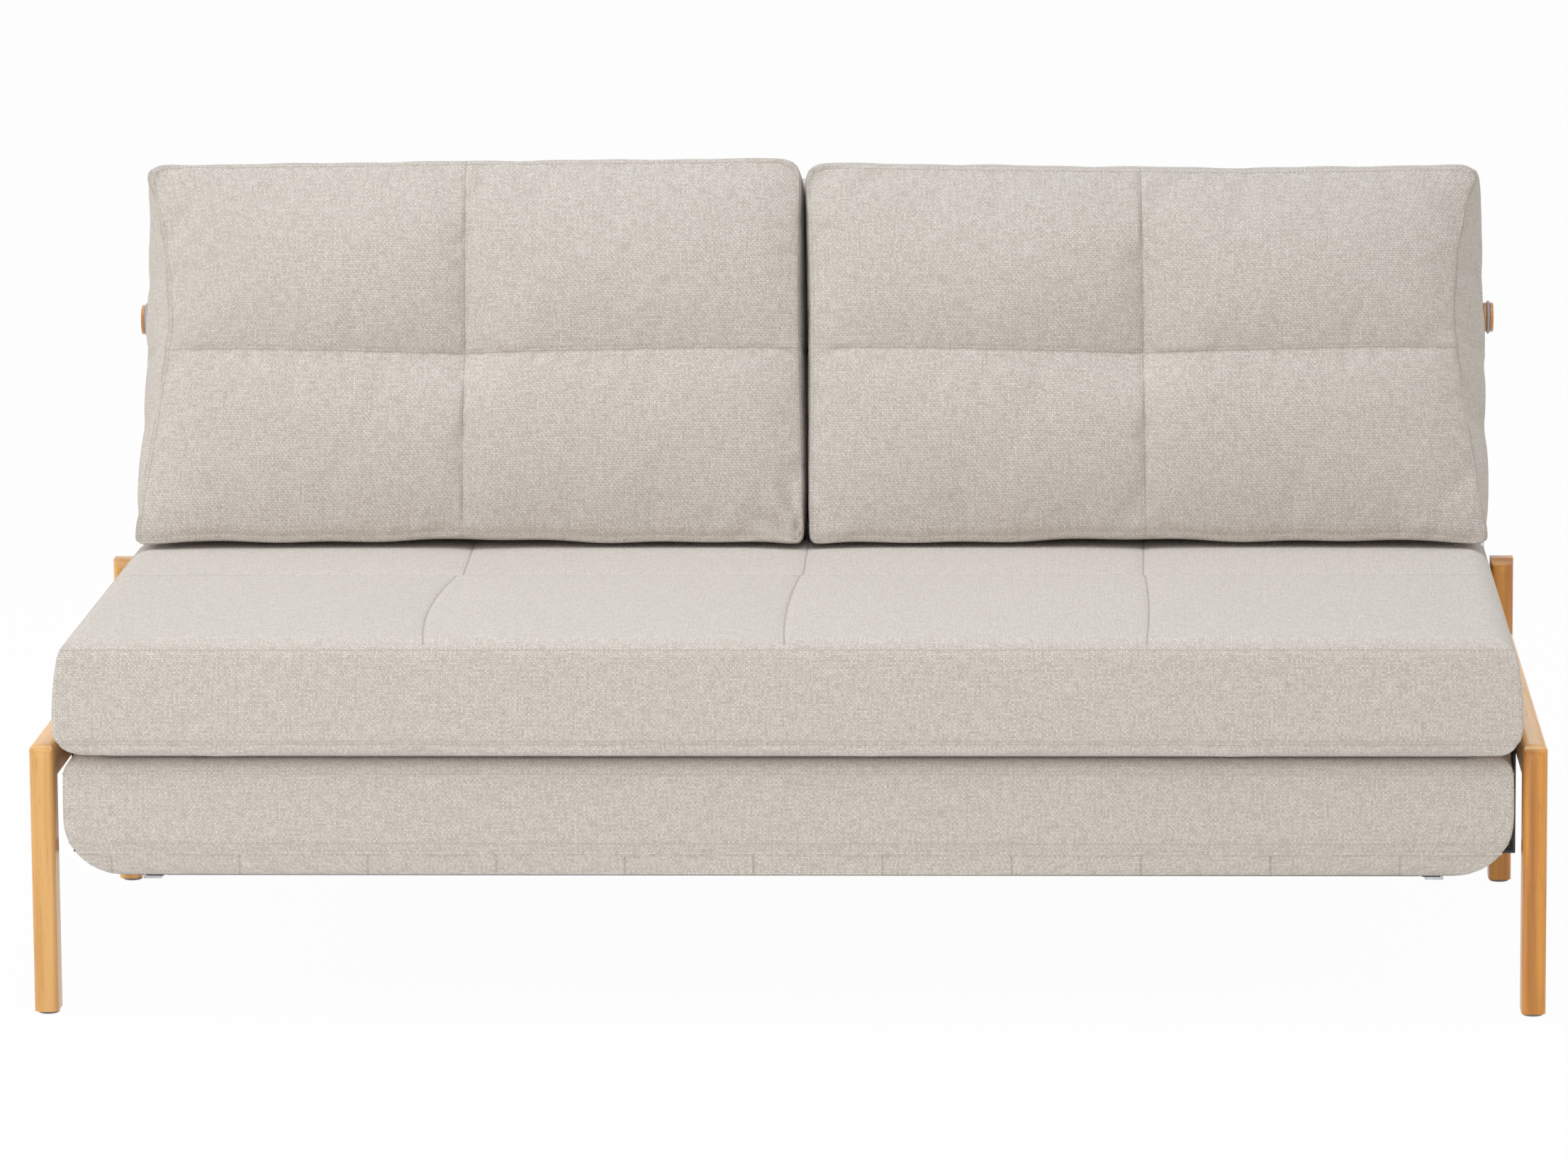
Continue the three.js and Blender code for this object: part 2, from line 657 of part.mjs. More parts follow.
// Loose back cushions, standing on the seat and leaning on the back
function backCushions() {
  const rear = backFront + backCrown + gap;
  const front = rear + cushionThickness;
  const top = backHigh - cushionTopSetback;
  const standZ = seatEdgeHeight + seatCrown + gap - pivotZ;
  const lowAt = (z) => (standZ - z * Math.cos(recline)) / Math.sin(recline);
  const low = [cushionSplit, lowAt(rear), rear];
  const high = [cushionHalfSpan, top, front];
  const centre = (cushionSplit + cushionHalfSpan) / 2;
  const geometry = softBlock(low, high, cushionRadius, [[2, 6], [2, 5], [1, 4]], (p) => {
    const down = 1 - (p.y - low[1]) / (top - low[1]);
    const depthShare = (p.z - rear) / cushionThickness;
    const [across, along] = [0, 1].map((k) => cells(p.getComponent(k), low[k], high[k], 2, cushionCellPower));
    const all = dome(p.x, low[0], high[0], cushionEdgePower) * dome(p.y, low[1], high[1], cushionEdgePower);
    const fullness = cushionSeamShare + (1 - cushionSeamShare) * Math.sqrt(Math.max(0, across * along));
    if (p.z > front - cushionRadius) p.z += cushionCrown * all * fullness;
    const waist = dome(p.y, low[1], high[1], 2) * dome(depthShare, 0, 1, 2);
    p.x = centre + (p.x - centre) * (1 - cushionWaistShare * waist);
    const outward = (p.x - cushionSplit) / (cushionHalfSpan - cushionSplit);
    p.x -= cushionTaper * outward * Math.min(1, 1 - down);
    // The bottom follows the level seat
    p.y += (lowAt(p.z) - low[1]) * Math.max(0, down) ** 2;
  });
  pair("back_cushion", geometry, fabric, back);
}

// Pull-out frame on runners under the base, which carries the opened section
function hollowTube(a0, a1, b0, b1) {
  const shape = roundedOutline(a0, a1, b0, b1, tubeRadius);
  const hollow = [a0 + tubeWall, a1 - tubeWall, b0 + tubeWall, b1 - tubeWall];
  shape.holes.push(roundedOutline(...hollow, tubeRadius - tubeWall));
  return shape;
}

function pulloutFrame() {
  const inner = pulloutHalf - tube;
  const section = hollowTube(inner, pulloutHalf, pulloutBottom, pulloutTop);
  const side = alongY(section, pulloutFront, pulloutRear, 2);
  const socket = rodX(stubRadius + gap, inner - plate, inner + 2 * tubeWall, pulloutLegY, pulloutLegZ, 14);
  pair("pullout_side_tube", without(side, socket), steel);
  const reach = inner - gap;
  const cross = (y) => alongX(hollowTube(y, y + tube, pulloutBottom, pulloutTop), -reach, reach, 2);
  add("pullout_front_bar", cross(pulloutFront), steel());
  add("pullout_rear_bar", cross(pulloutRear - tube), steel());
  const slatLow = pulloutTop - tubeWall * 3;
  pulloutSlatPlaces.forEach((place, i) => {
    const y = pulloutFront + place;
    add(`pullout_slat_${i + 1}`, box(-reach, reach, y, y + slatWidth, slatLow, pulloutTop), beech());
  });
}

function runners() {
  const inner = pulloutHalf - tube * runnerLapShare;
  const outer = pulloutHalf + runnerPlay + plate;
  const top = pulloutTop + runnerPlay + plate;
  const bottom = pulloutBottom - runnerPlay - plate;
  const shape = new THREE.Shape();
  shape.moveTo(inner, bottom);
  shape.lineTo(outer, bottom);
  shape.lineTo(outer, top);
  shape.lineTo(inner, top);
  shape.lineTo(inner, top - plate);
  shape.lineTo(outer - plate, top - plate);
  shape.lineTo(outer - plate, bottom + plate);
  shape.lineTo(inner, bottom + plate);
  pair("runner", alongY(shape, pulloutFront + plate, lowerRear), zinc);
}

// Folding legs: a strut with a stub into the frame's side and a rounded foot
function strut(length, radius, stubTo, x, direction) {
  const tip = radius * strutTipShare;
  const profile = [
    [0, 0],
    [radius - tip, 0],
    [radius, tip],
    [radius, length - radius],
    [radius * strutShoulderShare, length - tip],
    [0, length],
  ].map(([r, h]) => new THREE.Vector2(r, h));
  // The lathe stands along Y: its foot end lies at the far side of the pivot.
  const body = new THREE.LatheGeometry(profile, 14).translate(0, radius - length, 0);
  if (direction > 0) body.rotateX(Math.PI);
  body.translate(x, 0, 0);
  return joined(body, rodX(stubRadius, x, stubTo, 0, 0, 14));
}

function pulloutLegs() {
  const wall = pulloutHalf - tube;
  const x = wall - strutRadius - strutPlay;
  const leg = strut(pulloutLegZ + strutRadius, strutRadius, wall + 2 * tubeWall, x, 1);
  pair("pullout_leg", leg.translate(0, pulloutLegY, pulloutLegZ), steel);
}

function backLegSocket() {
  const wall = armOuter - armWidth;
  return rodX(stubRadius + gap, wall - plate, wall + stubDepth + gap, backLegY, backLegDepth, 14);
}

function backLegs() {
  const wall = armOuter - armWidth;
  const length = pivotZ + backLegDepth + backLegRadius;
  const leg = strut(length, backLegRadius, wall + stubDepth, wall - backLegRadius - strutPlay, -1);
  pair("back_leg", leg.translate(0, backLegY, backLegDepth), steel, back);
}

sideFrames();
glides();
baseBoards();
sideBrackets();
lowerMattress();
foldTape();
upperMattress();
backMattress();
backFrame();
ratchetHinges();
pawls();
knobs();
backCushions();
pulloutFrame();
runners();
pulloutLegs();
backLegs();

// The origin lies under the middle of the whole depth
sofa.updateMatrixWorld(true);
const extent = new THREE.Box3().setFromObject(sofa, true);
sofa.position.y = -(extent.min.y + extent.max.y) / 2;

export default sofa;
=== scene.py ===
"""Fold-out sofa bed: stacked mattress sections, a drop-down back and loose cushions in a slim oak frame."""
import json
import math

import bmesh
import bpy
import numpy as np
from mathutils import Matrix, Vector


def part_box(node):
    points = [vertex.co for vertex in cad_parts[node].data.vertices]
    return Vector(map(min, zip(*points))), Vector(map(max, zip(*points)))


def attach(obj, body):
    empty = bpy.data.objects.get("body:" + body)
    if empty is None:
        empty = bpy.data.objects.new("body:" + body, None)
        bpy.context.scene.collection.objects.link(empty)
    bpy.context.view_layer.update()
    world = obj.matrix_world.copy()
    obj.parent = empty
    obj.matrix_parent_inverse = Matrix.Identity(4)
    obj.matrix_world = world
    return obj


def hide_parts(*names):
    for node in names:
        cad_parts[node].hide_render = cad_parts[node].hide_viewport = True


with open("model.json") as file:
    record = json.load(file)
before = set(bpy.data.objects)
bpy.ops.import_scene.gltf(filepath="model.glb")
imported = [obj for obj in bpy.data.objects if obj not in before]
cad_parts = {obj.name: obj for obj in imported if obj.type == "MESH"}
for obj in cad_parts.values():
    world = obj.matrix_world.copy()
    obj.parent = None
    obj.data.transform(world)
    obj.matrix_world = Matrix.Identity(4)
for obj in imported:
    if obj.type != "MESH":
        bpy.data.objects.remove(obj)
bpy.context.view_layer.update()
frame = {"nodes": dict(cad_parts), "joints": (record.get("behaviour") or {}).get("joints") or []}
scene = bpy.context.scene

# Side frames: two solid oak legs and a top rail on each side, glued up with all their long edges rounded
# over, then oiled. The rail meets the front leg in a mitre and butts on the taller rear post.

SIDES = ("left", "right")
SHARP_FOLD = math.radians(35)  # an edge folded by more than this is a real edge, not a step of a curve


class Sum:
    """A node's output, so that sums on it can be written as sums."""

    def __init__(self, net, socket):
        self.net = net
        self.socket = socket

    def maths(self, operation, *others):
        sockets = dict(enumerate([self, *others]))
        return self.net.node("ShaderNodeMath", {"operation": operation}, sockets)

    def __add__(self, other):
        return self.maths("ADD", other)

    def __sub__(self, other):
        return self.maths("SUBTRACT", other)

    def __rsub__(self, other):
        return (self * -1) + other

    def __mul__(self, other):
        return self.maths("MULTIPLY", other)

    def __truediv__(self, other):
        return self.maths("DIVIDE", other)

    def __pow__(self, other):
        return self.maths("POWER", other)

    def __gt__(self, other):
        return self.maths("GREATER_THAN", other)

    def __abs__(self):
        return self.maths("ABSOLUTE")

    __radd__ = __add__
    __rmul__ = __mul__

    def sine(self):
        return self.maths("SINE")

    def floor(self):
        return self.maths("FLOOR")

    def zigzag(self, height):
        return self.maths("PINGPONG", height)

    def larger(self, other):
        return self.maths("MAXIMUM", other)

    def smooth(self, low, high):
        """0 below low, 1 above high and a smooth step between."""
        return self.net.node("ShaderNodeMapRange", {"interpolation_type": "SMOOTHSTEP"},
                             {"Value": self, "From Min": low, "From Max": high})


class Net:
    """The nodes of a new material or of the world. The material is handed back by finish."""

    def __init__(self, owner):
        self.owner = owner
        owner.use_nodes = True
        self.tree = owner.node_tree
        self.tree.nodes.clear()

    def node(self, kind, settings=None, sockets=None, output=0):
        """A node of some type: its settings are made first, then the values or links of its sockets."""
        made = self.tree.nodes.new(kind)
        for key, value in (settings or {}).items():
            setattr(made, key, value)
        for key, value in (sockets or {}).items():
            self.plug(made.inputs[key], value)
        return Sum(self, made.outputs[output]) if made.outputs else None

    def plug(self, socket, value):
        """Links or sets one socket. A colour of three numbers gets its fourth."""
        three = hasattr(value, "__len__") and len(value) == 3
        if isinstance(value, Sum):
            self.tree.links.new(value.socket, socket)
        elif three and len(getattr(socket, "default_value", ())) == 4:
            socket.default_value = (*value, 1)
        else:
            socket.default_value = value

    def parts(self, vector):
        split = self.node("ShaderNodeSeparateXYZ", sockets={0: vector}).socket.node
        return [Sum(self, split.outputs[i]) for i in range(3)]

    def vector(self, x, y, z):
        return self.node("ShaderNodeCombineXYZ", sockets={0: x, 1: y, 2: z})

    def place(self):
        """Where the surface is on the object, in metres."""
        return self.node("ShaderNodeTexCoord", output=3)

    def noise(self, vector, scale, detail=2.0, roughness=0.5):
        return self.node("ShaderNodeTexNoise", sockets={
            "Vector": vector, "Scale": scale, "Detail": detail, "Roughness": roughness})

    def grain(self, plank, across, along, detail=2.0, roughness=0.5, seed=0.0):
        """Noise drawn out along a plank, which is given as the places along, across and through it. across
        and along are how many of the noise's cells there are to the metre."""
        length, width, depth = plank
        vector = self.vector(width * across, depth * across, length * along + seed)
        return self.noise(vector, 1.0, detail, roughness)

    def mix(self, share, first, second):
        """Two colours mixed: first where share is 0, second where it is 1."""
        made = self.node("ShaderNodeMix", {"data_type": "RGBA"}).socket.node
        for place, value in ((0, share), (6, first), (7, second)):
            self.plug(made.inputs[place], value)
        return Sum(self, made.outputs[2])

    def blend(self, share, first, second):
        """Two numbers mixed in the same way."""
        return first + share * (second - first)

    def bump(self, height, distance, strength):
        return self.node("ShaderNodeBump", sockets={
            "Height": height, "Distance": distance, "Strength": strength})

    def finish(self, **sockets):
        """The principled surface. Keywords are its sockets with underscores for spaces."""
        surface = self.node("ShaderNodeBsdfPrincipled", sockets={
            key.replace("_", " "): value for key, value in sockets.items()})
        self.node("ShaderNodeOutputMaterial", sockets={"Surface": surface})
        return self.owner


def new_net(name):
    return Net(bpy.data.materials.new(name))


def darker(colour, share):
    return [part * share for part in colour]


def oak(name, along, light, dark, seed):
    """Oiled oak with its grain along one axis: growth rings, pores and a slow change of tone."""
    net = new_net(name)
    x, y, z = net.parts(net.place())
    plank = {"z": (z, x, y), "y": (y, z, x), "x": (x, y, z)}[along]
    _, across, deep = plank
    # The rings run aslant through the plank, so many radians to the metre, and stray by the slow noise
    slant, radians, stray = 0.6, 210, 15
    wander = net.grain(plank, across=9, along=2.2, seed=seed)
    rings = ((across + deep * slant) * radians + wander * stray + seed).sine() * 0.5 + 0.5
    pores = net.grain(plank, across=900, along=26, detail=3.0, roughness=0.6, seed=seed)
    streaks = net.grain(plank, across=170, along=5, detail=3.0, roughness=0.55, seed=seed)
    tone = rings * 0.42 + streaks * 0.75 - 0.12
    wood = net.mix(tone.smooth(0.1, 0.95), light, dark)
    fleck = pores.smooth(0.56, 0.72)
    shade = net.mix(fleck * 0.42, wood, darker(dark, 0.55))
    height = rings * 0.12 + (1 - fleck) * 0.5
    return net.finish(Base_Color=shade, Roughness=0.42 + fleck * 0.2, Coat_Weight=0.5, Coat_Roughness=0.24,
                      Normal=net.bump(height, distance=0.0002, strength=0.6))


def carried(node, material, body, edge=0.0):
    """A finished piece in the place of a CAD node, with its edges broken and a map for its weave."""
    mesh = frame["nodes"][node].data.copy()
    shape = bmesh.new()
    shape.from_mesh(mesh)
    bmesh.ops.remove_doubles(shape, verts=shape.verts, dist=1e-6)
    bmesh.ops.dissolve_limit(shape, angle_limit=math.radians(1), verts=shape.verts, edges=shape.edges)
    sharp = [fold for fold in shape.edges
             if len(fold.link_faces) == 2 and fold.calc_face_angle(0) > SHARP_FOLD]
    if edge and sharp:
        bmesh.ops.bevel(shape, geom=sharp, offset=edge, segments=2, profile=0.6, affect="EDGES",
                        clamp_overlap=True)
    uv = shape.loops.layers.uv.new("weave")
    for face in shape.faces:
        face.smooth = True
        flat = max(range(3), key=lambda i: abs(face.normal[i]))
        first, second = [i for i in range(3) if i != flat]
        for loop in face.loops:
            loop[uv].uv = (loop.vert.co[first], loop.vert.co[second])
    shape.to_mesh(mesh)
    shape.free()
    mesh.set_sharp_from_angle(angle=SHARP_FOLD)
    mesh.materials.clear()
    mesh.materials.append(material)
    piece = bpy.data.objects.new(node + "_finished", mesh)
    scene.collection.objects.link(piece)
    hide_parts(node)
    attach(piece, body)
    return piece


# The uprights on the right take a darker, redder oak than those on the left: painted shade for the side that
# gets less light
LIGHT_OAK = ((0.83, 0.465, 0.150), (0.64, 0.31, 0.070))
SHADED_OAK = ((0.80, 0.345, 0.045), (0.43, 0.145, 0.012))
for side, (light, dark), seed in (("left", LIGHT_OAK, 3.0), ("right", SHADED_OAK, 11.0)):
    upright = oak(f"oak_upright_{side}", "z", light, dark, seed)
    level = oak(f"oak_rail_{side}", "y", *LIGHT_OAK, seed + 5)
    carried(f"front_leg_{side}", upright, "base")
    carried(f"rear_post_{side}", upright, "base")
    carried(f"side_rail_{side}", level, "base")

# Glides: round grey pads of moulded plastic that let the sofa slide on a floor. Each is pressed with its
# stem into the foot of a leg.


def moulded(name, colour, roughness):
    """Matt moulded plastic with a fine spark-eroded grain."""
    net = new_net(name)
    grain = net.noise(net.place(), scale=2600.0, roughness=0.6)
    worn = net.noise(net.place(), scale=45.0)
    shade = net.mix(worn * 0.35, colour, darker(colour, 0.8))
    return net.finish(Base_Color=shade, Roughness=roughness + grain * 0.15,
                      Normal=net.bump(grain, distance=0.00008, strength=0.5))


glide_grey = moulded("glide_grey", (0.33, 0.33, 0.34), 0.5)
for place in ("front", "rear"):
    for side in SIDES:
        carried(f"glide_{place}_{side}", glide_grey, "base", edge=0.0005)

# Base: timber boards covered in the sofa's linen, with bare birch slats let in between them. Pressed steel
# brackets hang it from the rails, and the zinc-plated runners of the pull-out frame are fixed below it.

THREAD = 0.0023  # from one thread of the weave to the next
CREASES = 0.128  # from one staple crease of a covered board to the next
LINEN_LIGHT = (0.87, 0.822, 0.782)
LINEN_MID = (0.66, 0.606, 0.560)
LINEN_TAN = (0.47, 0.400, 0.335)
# The colour of the painted shade along seams and folds
LINEN_SHADE = (0.28, 0.225, 0.18)


def linen(name, creases=0.0, depth=1.0):
    """Plain-woven linen in mixed slub yarns. creases is how far apart a board's staple creases are, and a
    lower depth darkens the whole cloth as painted shade."""
    net = new_net(name)
    weave = net.node("ShaderNodeUVMap", {"uv_map": "weave"})
    u, v, _ = net.parts(weave)
    waver = net.noise(weave, scale=55.0) * 0.9
    # Where the surface is, counted in threads each way
    threads_u, threads_v = u / THREAD + waver, v / THREAD + waver
    warp, weft = (threads_u * math.pi).sine(), (threads_v * math.pi).sine()
    over = (warp * weft) > 0
    height = net.blend(over, abs(weft) ** 0.6, abs(warp) ** 0.6)
    # How fast the tone changes from one yarn to the next, and along a yarn
    apart, along = 0.71, 0.16
    warp_place = net.vector(threads_u.floor() * apart, threads_v * along, 2.0)
    weft_place = net.vector(threads_u * along, threads_v.floor() * apart, 9.0)
    warp_yarn = net.noise(warp_place, scale=1.0, roughness=0.7)
    weft_yarn = net.noise(weft_place, scale=1.0, roughness=0.7)
    yarn = net.blend(over, weft_yarn, warp_yarn)
    cloud = net.noise(weave, scale=16.0, detail=3.0, roughness=0.6)
    speck = net.noise(weave, scale=430.0, roughness=0.7)
    nub = net.noise(weave, scale=900.0, detail=1.0)
    tone = yarn * 0.54 + speck * 0.46 + (cloud - 0.5) * 0.03
    pale = net.mix(tone.smooth(0.40, 0.62), darker(LINEN_MID, depth), darker(LINEN_LIGHT, depth))
    tan_fleck = (yarn * 0.45 + speck * 0.55).smooth(0.45, 0.36)
    shade = net.mix(tan_fleck * 0.34, pale, LINEN_TAN)
    # The yarns that lie under are a little darker and the nubs vary at random, and painted shade darkens the
    # low parts of each yarn between the threads
    hollow = (1 - over) * 0.16 + (1 - height) * 0.5 + (nub - 0.5) * 0.5
    shade = net.mix(hollow, shade, LINEN_TAN)
    # Painted shade along seams and folds, as much as each point's seam value gives
    seam = net.node("ShaderNodeAttribute", {"attribute_name": "seam"}, output=2)
    shade = net.mix(seam * 0.6, shade, LINEN_SHADE)
    if creases:
        x, _, _ = net.parts(net.place())
        # Along each staple crease the bump dips and painted shade darkens the cloth
        line = 1 - (x + creases / 4).zigzag(creases / 2).smooth(0.0002, 0.0016)
        shade = net.mix(line * 0.4, shade, LINEN_TAN)
        height = height - line * 2
    return net.finish(Base_Color=shade, Roughness=0.92, Sheen_Weight=0.2, Sheen_Roughness=0.5,
                      Specular_IOR_Level=0.25,
                      Normal=net.bump(height + nub * 0.5, distance=0.0006, strength=0.8))


section_linen = linen("section_linen")
band_linen = linen("band_linen", creases=CREASES)
carried("base_rear_board", band_linen, "base", edge=0.0015)
side_boards = [carried(f"base_side_board_{side}", band_linen, "base", edge=0.0015)
               for side in SIDES]


def birch(name, along):
    """Bare birch plywood: close grain, pale, with a slow figure."""
    net = new_net(name)
    x, y, z = net.parts(net.place())
    plank = (y, x, z) if along == "y" else (x, y, z)
    figure = net.grain(plank, across=120, along=6, detail=3.0, roughness=0.6)
    fine = net.grain(plank, across=900, along=40)
    tone = (figure * 0.7 + fine * 0.3).smooth(0.3, 0.75)
    shade = net.mix(tone, (0.76, 0.60, 0.40), (0.62, 0.44, 0.25))
    return net.finish(Base_Color=shade, Roughness=0.6 + fine * 0.12,
                      Normal=net.bump(fine, distance=0.0001, strength=0.4))


birch_lengthways = birch("birch_lengthways", "y")
for i in (1, 2, 3):
    for side in SIDES:
        carried(f"base_slat_{i}_{side}", birch_lengthways, "base", edge=0.0012)


def coated_steel(name):
    """Black powder coat: a fine orange peel and a slightly worn sheen."""
    net = new_net(name)
    peel = net.noise(net.place(), scale=900.0)
    wear = net.noise(net.place(), scale=30.0, detail=3.0, roughness=0.6)
    shade = net.mix(wear.smooth(0.45, 0.75) * 0.5, (0.030, 0.030, 0.033), (0.060, 0.060, 0.064))
    return net.finish(Base_Color=shade, Roughness=0.38 + wear * 0.22,
                      Normal=net.bump(peel, distance=0.0001, strength=0.4))


def zinc(name):
    """Zinc plate: spangled grey metal, a little dulled."""
    net = new_net(name)
    spangle = net.node("ShaderNodeTexVoronoi", sockets={"Vector": net.place(), "Scale": 260.0})
    dull = net.noise(net.place(), scale=40.0, detail=3.0, roughness=0.6)
    shade = net.mix(spangle.smooth(0.1, 0.7) * 0.5, (0.60, 0.61, 0.63), (0.46, 0.47, 0.50))
    return net.finish(Base_Color=shade, Metallic=1.0, Roughness=0.3 + dull * 0.28,
                      Normal=net.bump(spangle, distance=0.00004, strength=0.3))


black_steel = coated_steel("black_steel")
zinc_plate = zinc("zinc_plate")
for place in ("front", "rear"):
    for side in SIDES:
        carried(f"side_bracket_{place}_{side}", black_steel, "base", edge=0.0005)
for side in SIDES:
    carried(f"runner_{side}", zinc_plate, "base", edge=0.0004)

# Lower section: a foam slab in a sewn linen cover, fixed on the base. Its front has a seam and a row of
# topstitch along the top and another along the bottom, and its bottom corners turn up in a wide curve.

SEAM_ROWS = (0.0014, 0.0045, 0.0075)  # how far the rows of a cover's mesh beside a seam stand from it
SIDE_TUCK, REAR_TUCK = 0.0025, 0.002  # how far inside its node a section's cover is drawn
TINY = 1e-9  # keeps a division by a length of nothing off


def rows(low, high, arc, pitch, seams=()):
    """Places of the mesh's rows along one side: close at the edges and about each seam, even between."""
    first_row, wide_arc = 0.0028, 0.006
    edge = (first_row, arc * 0.6, arc) if arc > wide_arc else (arc * 0.5, arc)
    edge = [step for step in edge if step < (high - low) / 2]
    places = [low, *(low + step for step in edge), *(high - step for step in edge), high]
    for seam in seams:
        places += [seam, *(seam - step for step in SEAM_ROWS), *(seam + step for step in SEAM_ROWS)]
    places = sorted(place for place in places if low <= place <= high)
    filled = []
    for start, end in zip(places, places[1:]):
        filled += list(np.linspace(start, end, max(1, round((end - start) / pitch)) + 1)[:-1])
    return np.array([*filled, high])


def row_at(axis, place):
    """Which of an axis's rows is nearest to a place on it."""
    return int(np.argmin(abs(axis - place)))


def block(axes, arc, foot_arc):
    """A closed grid over a box whose rows are given, with the edges round its top and its foot rounded.
    Returns the points, the grid's own places, the quads, their sides and the index of each grid point."""
    counts = [len(axis) for axis in axes]
    inside = np.zeros(counts, bool)
    inside[1:-1, 1:-1, 1:-1] = True
    index = -np.ones(counts, int)
    index[~inside] = np.arange((~inside).sum())
    where = np.argwhere(~inside)
    grid = np.stack([axes[i][where[:, i]] for i in range(3)], axis=1)
    quads, sides = [], []
    for axis, keep in ((0, False), (1, True), (2, False)):
        for end, flip in ((0, not keep), (-1, keep)):
            face = np.take(index, end, axis=axis)
            corners = [face[:-1, :-1], face[1:, :-1], face[1:, 1:], face[:-1, 1:]]
            quad = np.stack(corners, axis=-1).reshape(-1, 4)
            quads.append(quad[:, ::-1] if flip else quad)
            sides += [axis] * len(quad)
    low, high = np.array([axis[0] for axis in axes]), np.array([axis[-1] for axis in axes])
    centre, half = (low + high) / 2, (high - low) / 2
    offset = grid - centre
    depth = half - abs(offset)
    plan = np.minimum(depth[:, 0], depth[:, 1])
    arc = np.where(offset[:, 2] > 0, arc, foot_arc)
    near = (plan < arc) & (depth[:, 2] < arc)
    run = np.stack([arc - plan, arc - depth[:, 2]], axis=1)
    run = run / np.maximum(np.linalg.norm(run, axis=1), TINY)[:, None] * arc[:, None]
    plan = np.where(near, arc - run[:, 0], plan)
    points = offset.copy()
    for i in (0, 1):
        drawn_in = np.minimum(abs(offset[:, i]), half[i] - plan)
        points[:, i] = np.where(near, np.sign(offset[:, i]) * drawn_in, offset[:, i])
    points[:, 2] = np.where(near, np.sign(offset[:, 2]) * (half[2] - arc + run[:, 1]), offset[:, 2])
    return points + centre, grid, np.concatenate(quads), sides, index


def turn_corners(points, centre, half, foot_radius, top_radius):
    """The box's corners turned in an arc, as seen along the third axis."""
    for sx in (-1, 1):
        for sy, radius in ((-1, foot_radius), (1, top_radius)):
            core = np.array([centre[0] + sx * (half[0] - radius), centre[1] + sy * (half[1] - radius)])
            run = (points[:, :2] - core) * (sx, sy)
            corner = (run > 0).all(axis=1)
            reach = run[corner].max(axis=1)
            length = np.linalg.norm(run[corner], axis=1)
            points[corner, :2] = core + run[corner] * (reach / np.maximum(length, TINY))[:, None] * (sx, sy)
    return points


def cloth_mesh(name, points, grid, quads, sides, material, seams=0.0):
    """A cover's mesh with its weave mapped by the flat place of each thread. seams is how much painted shade
    each point takes by a seam or fold, 0 to 1."""
    mesh = bpy.data.meshes.new(name)
    mesh.from_pydata(points.tolist(), [], quads.tolist())
    layer = mesh.uv_layers.new(name="weave")
    flat_axes = {0: (1, 2), 1: (0, 2), 2: (0, 1)}
    picks = np.array([flat_axes[side] for side in sides]).repeat(4, axis=0)
    corners = quads.reshape(-1)
    place = np.stack([grid[corners, picks[:, 0]], grid[corners, picks[:, 1]]], axis=1)
    layer.data.foreach_set("uv", place.astype(np.float32).ravel())
    # The seam attribute carries the painted shade
    depth = mesh.attributes.new("seam", "FLOAT", "POINT")
    depth.data.foreach_set("value", (np.zeros(len(points)) + seams).astype(np.float32))
    mesh.polygons.foreach_set("use_smooth", [True] * len(quads))
    mesh.materials.append(material)
    piece = bpy.data.objects.new(name, mesh)
    scene.collection.objects.link(piece)
    return piece


def swell(piece, pins, cap, slack, pressure=4.0, ease=1.0):
    """Blows a sewn cover up by cloth simulation. The points that pins marks stay sewn, and the rest move at
    most by cap times ease. slack is the share by which the cloth is cut larger than it is drawn."""
    frames = 20
    held = piece.vertex_groups.new(name="sewn")
    held.add(np.flatnonzero(pins).tolist(), 1.0, "REPLACE")
    start = np.array([v.co for v in piece.data.vertices])
    cloth = piece.modifiers.new("cloth", "CLOTH")
    cloth.settings.quality = 5
    cloth.settings.mass = 0.3
    cloth.settings.air_damping = 1.0
    cloth.settings.tension_stiffness = 20
    cloth.settings.compression_stiffness = 20
    cloth.settings.shear_stiffness = 8
    cloth.settings.bending_stiffness = 0.8
    cloth.settings.vertex_group_mass = "sewn"
    cloth.settings.use_pressure = True
    cloth.settings.uniform_pressure_force = pressure
    cloth.settings.shrink_min = -slack
    cloth.settings.effector_weights.gravity = 0
    cloth.collision_settings.use_collision = False
    cloth.point_cache.frame_start = 1
    cloth.point_cache.frame_end = frames
    for step in range(1, frames + 1):
        scene.frame_set(step)
    blown = piece.evaluated_get(bpy.context.evaluated_depsgraph_get())
    end = np.array([v.co for v in blown.data.vertices])
    piece.modifiers.remove(cloth)
    piece.vertex_groups.remove(held)
    scene.frame_set(1)
    move = end - start
    far = np.linalg.norm(move, axis=1)
    move *= (ease * cap * np.tanh(far / cap) / np.maximum(far, TINY))[:, None]
    piece.data.vertices.foreach_set("co", (start + move).ravel())
    piece.data.update()


def refine(piece):
    """One level of subdivision, applied."""
    modifier = piece.modifiers.new("fine", "SUBSURF")
    modifier.levels = modifier.render_levels = 1
    evaluated = piece.evaluated_get(bpy.context.evaluated_depsgraph_get())
    fine = bpy.data.meshes.new_from_object(evaluated)
    piece.modifiers.remove(modifier)
    coarse, name = piece.data, piece.data.name
    piece.data = fine
    bpy.data.meshes.remove(coarse)
    fine.name = name


def upholster(piece, node, body):
    """Hides a finished cover's node and puts the cover in its place, on the node's body."""
    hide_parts(node)
    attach(piece, body)


def dome(values, low, high, power):
    """1 half-way between low and high, 0 at and beyond them, flatter as the power rises."""
    return 1 - np.clip(abs(2 * (values - low) / (high - low) - 1), 0, 1) ** power


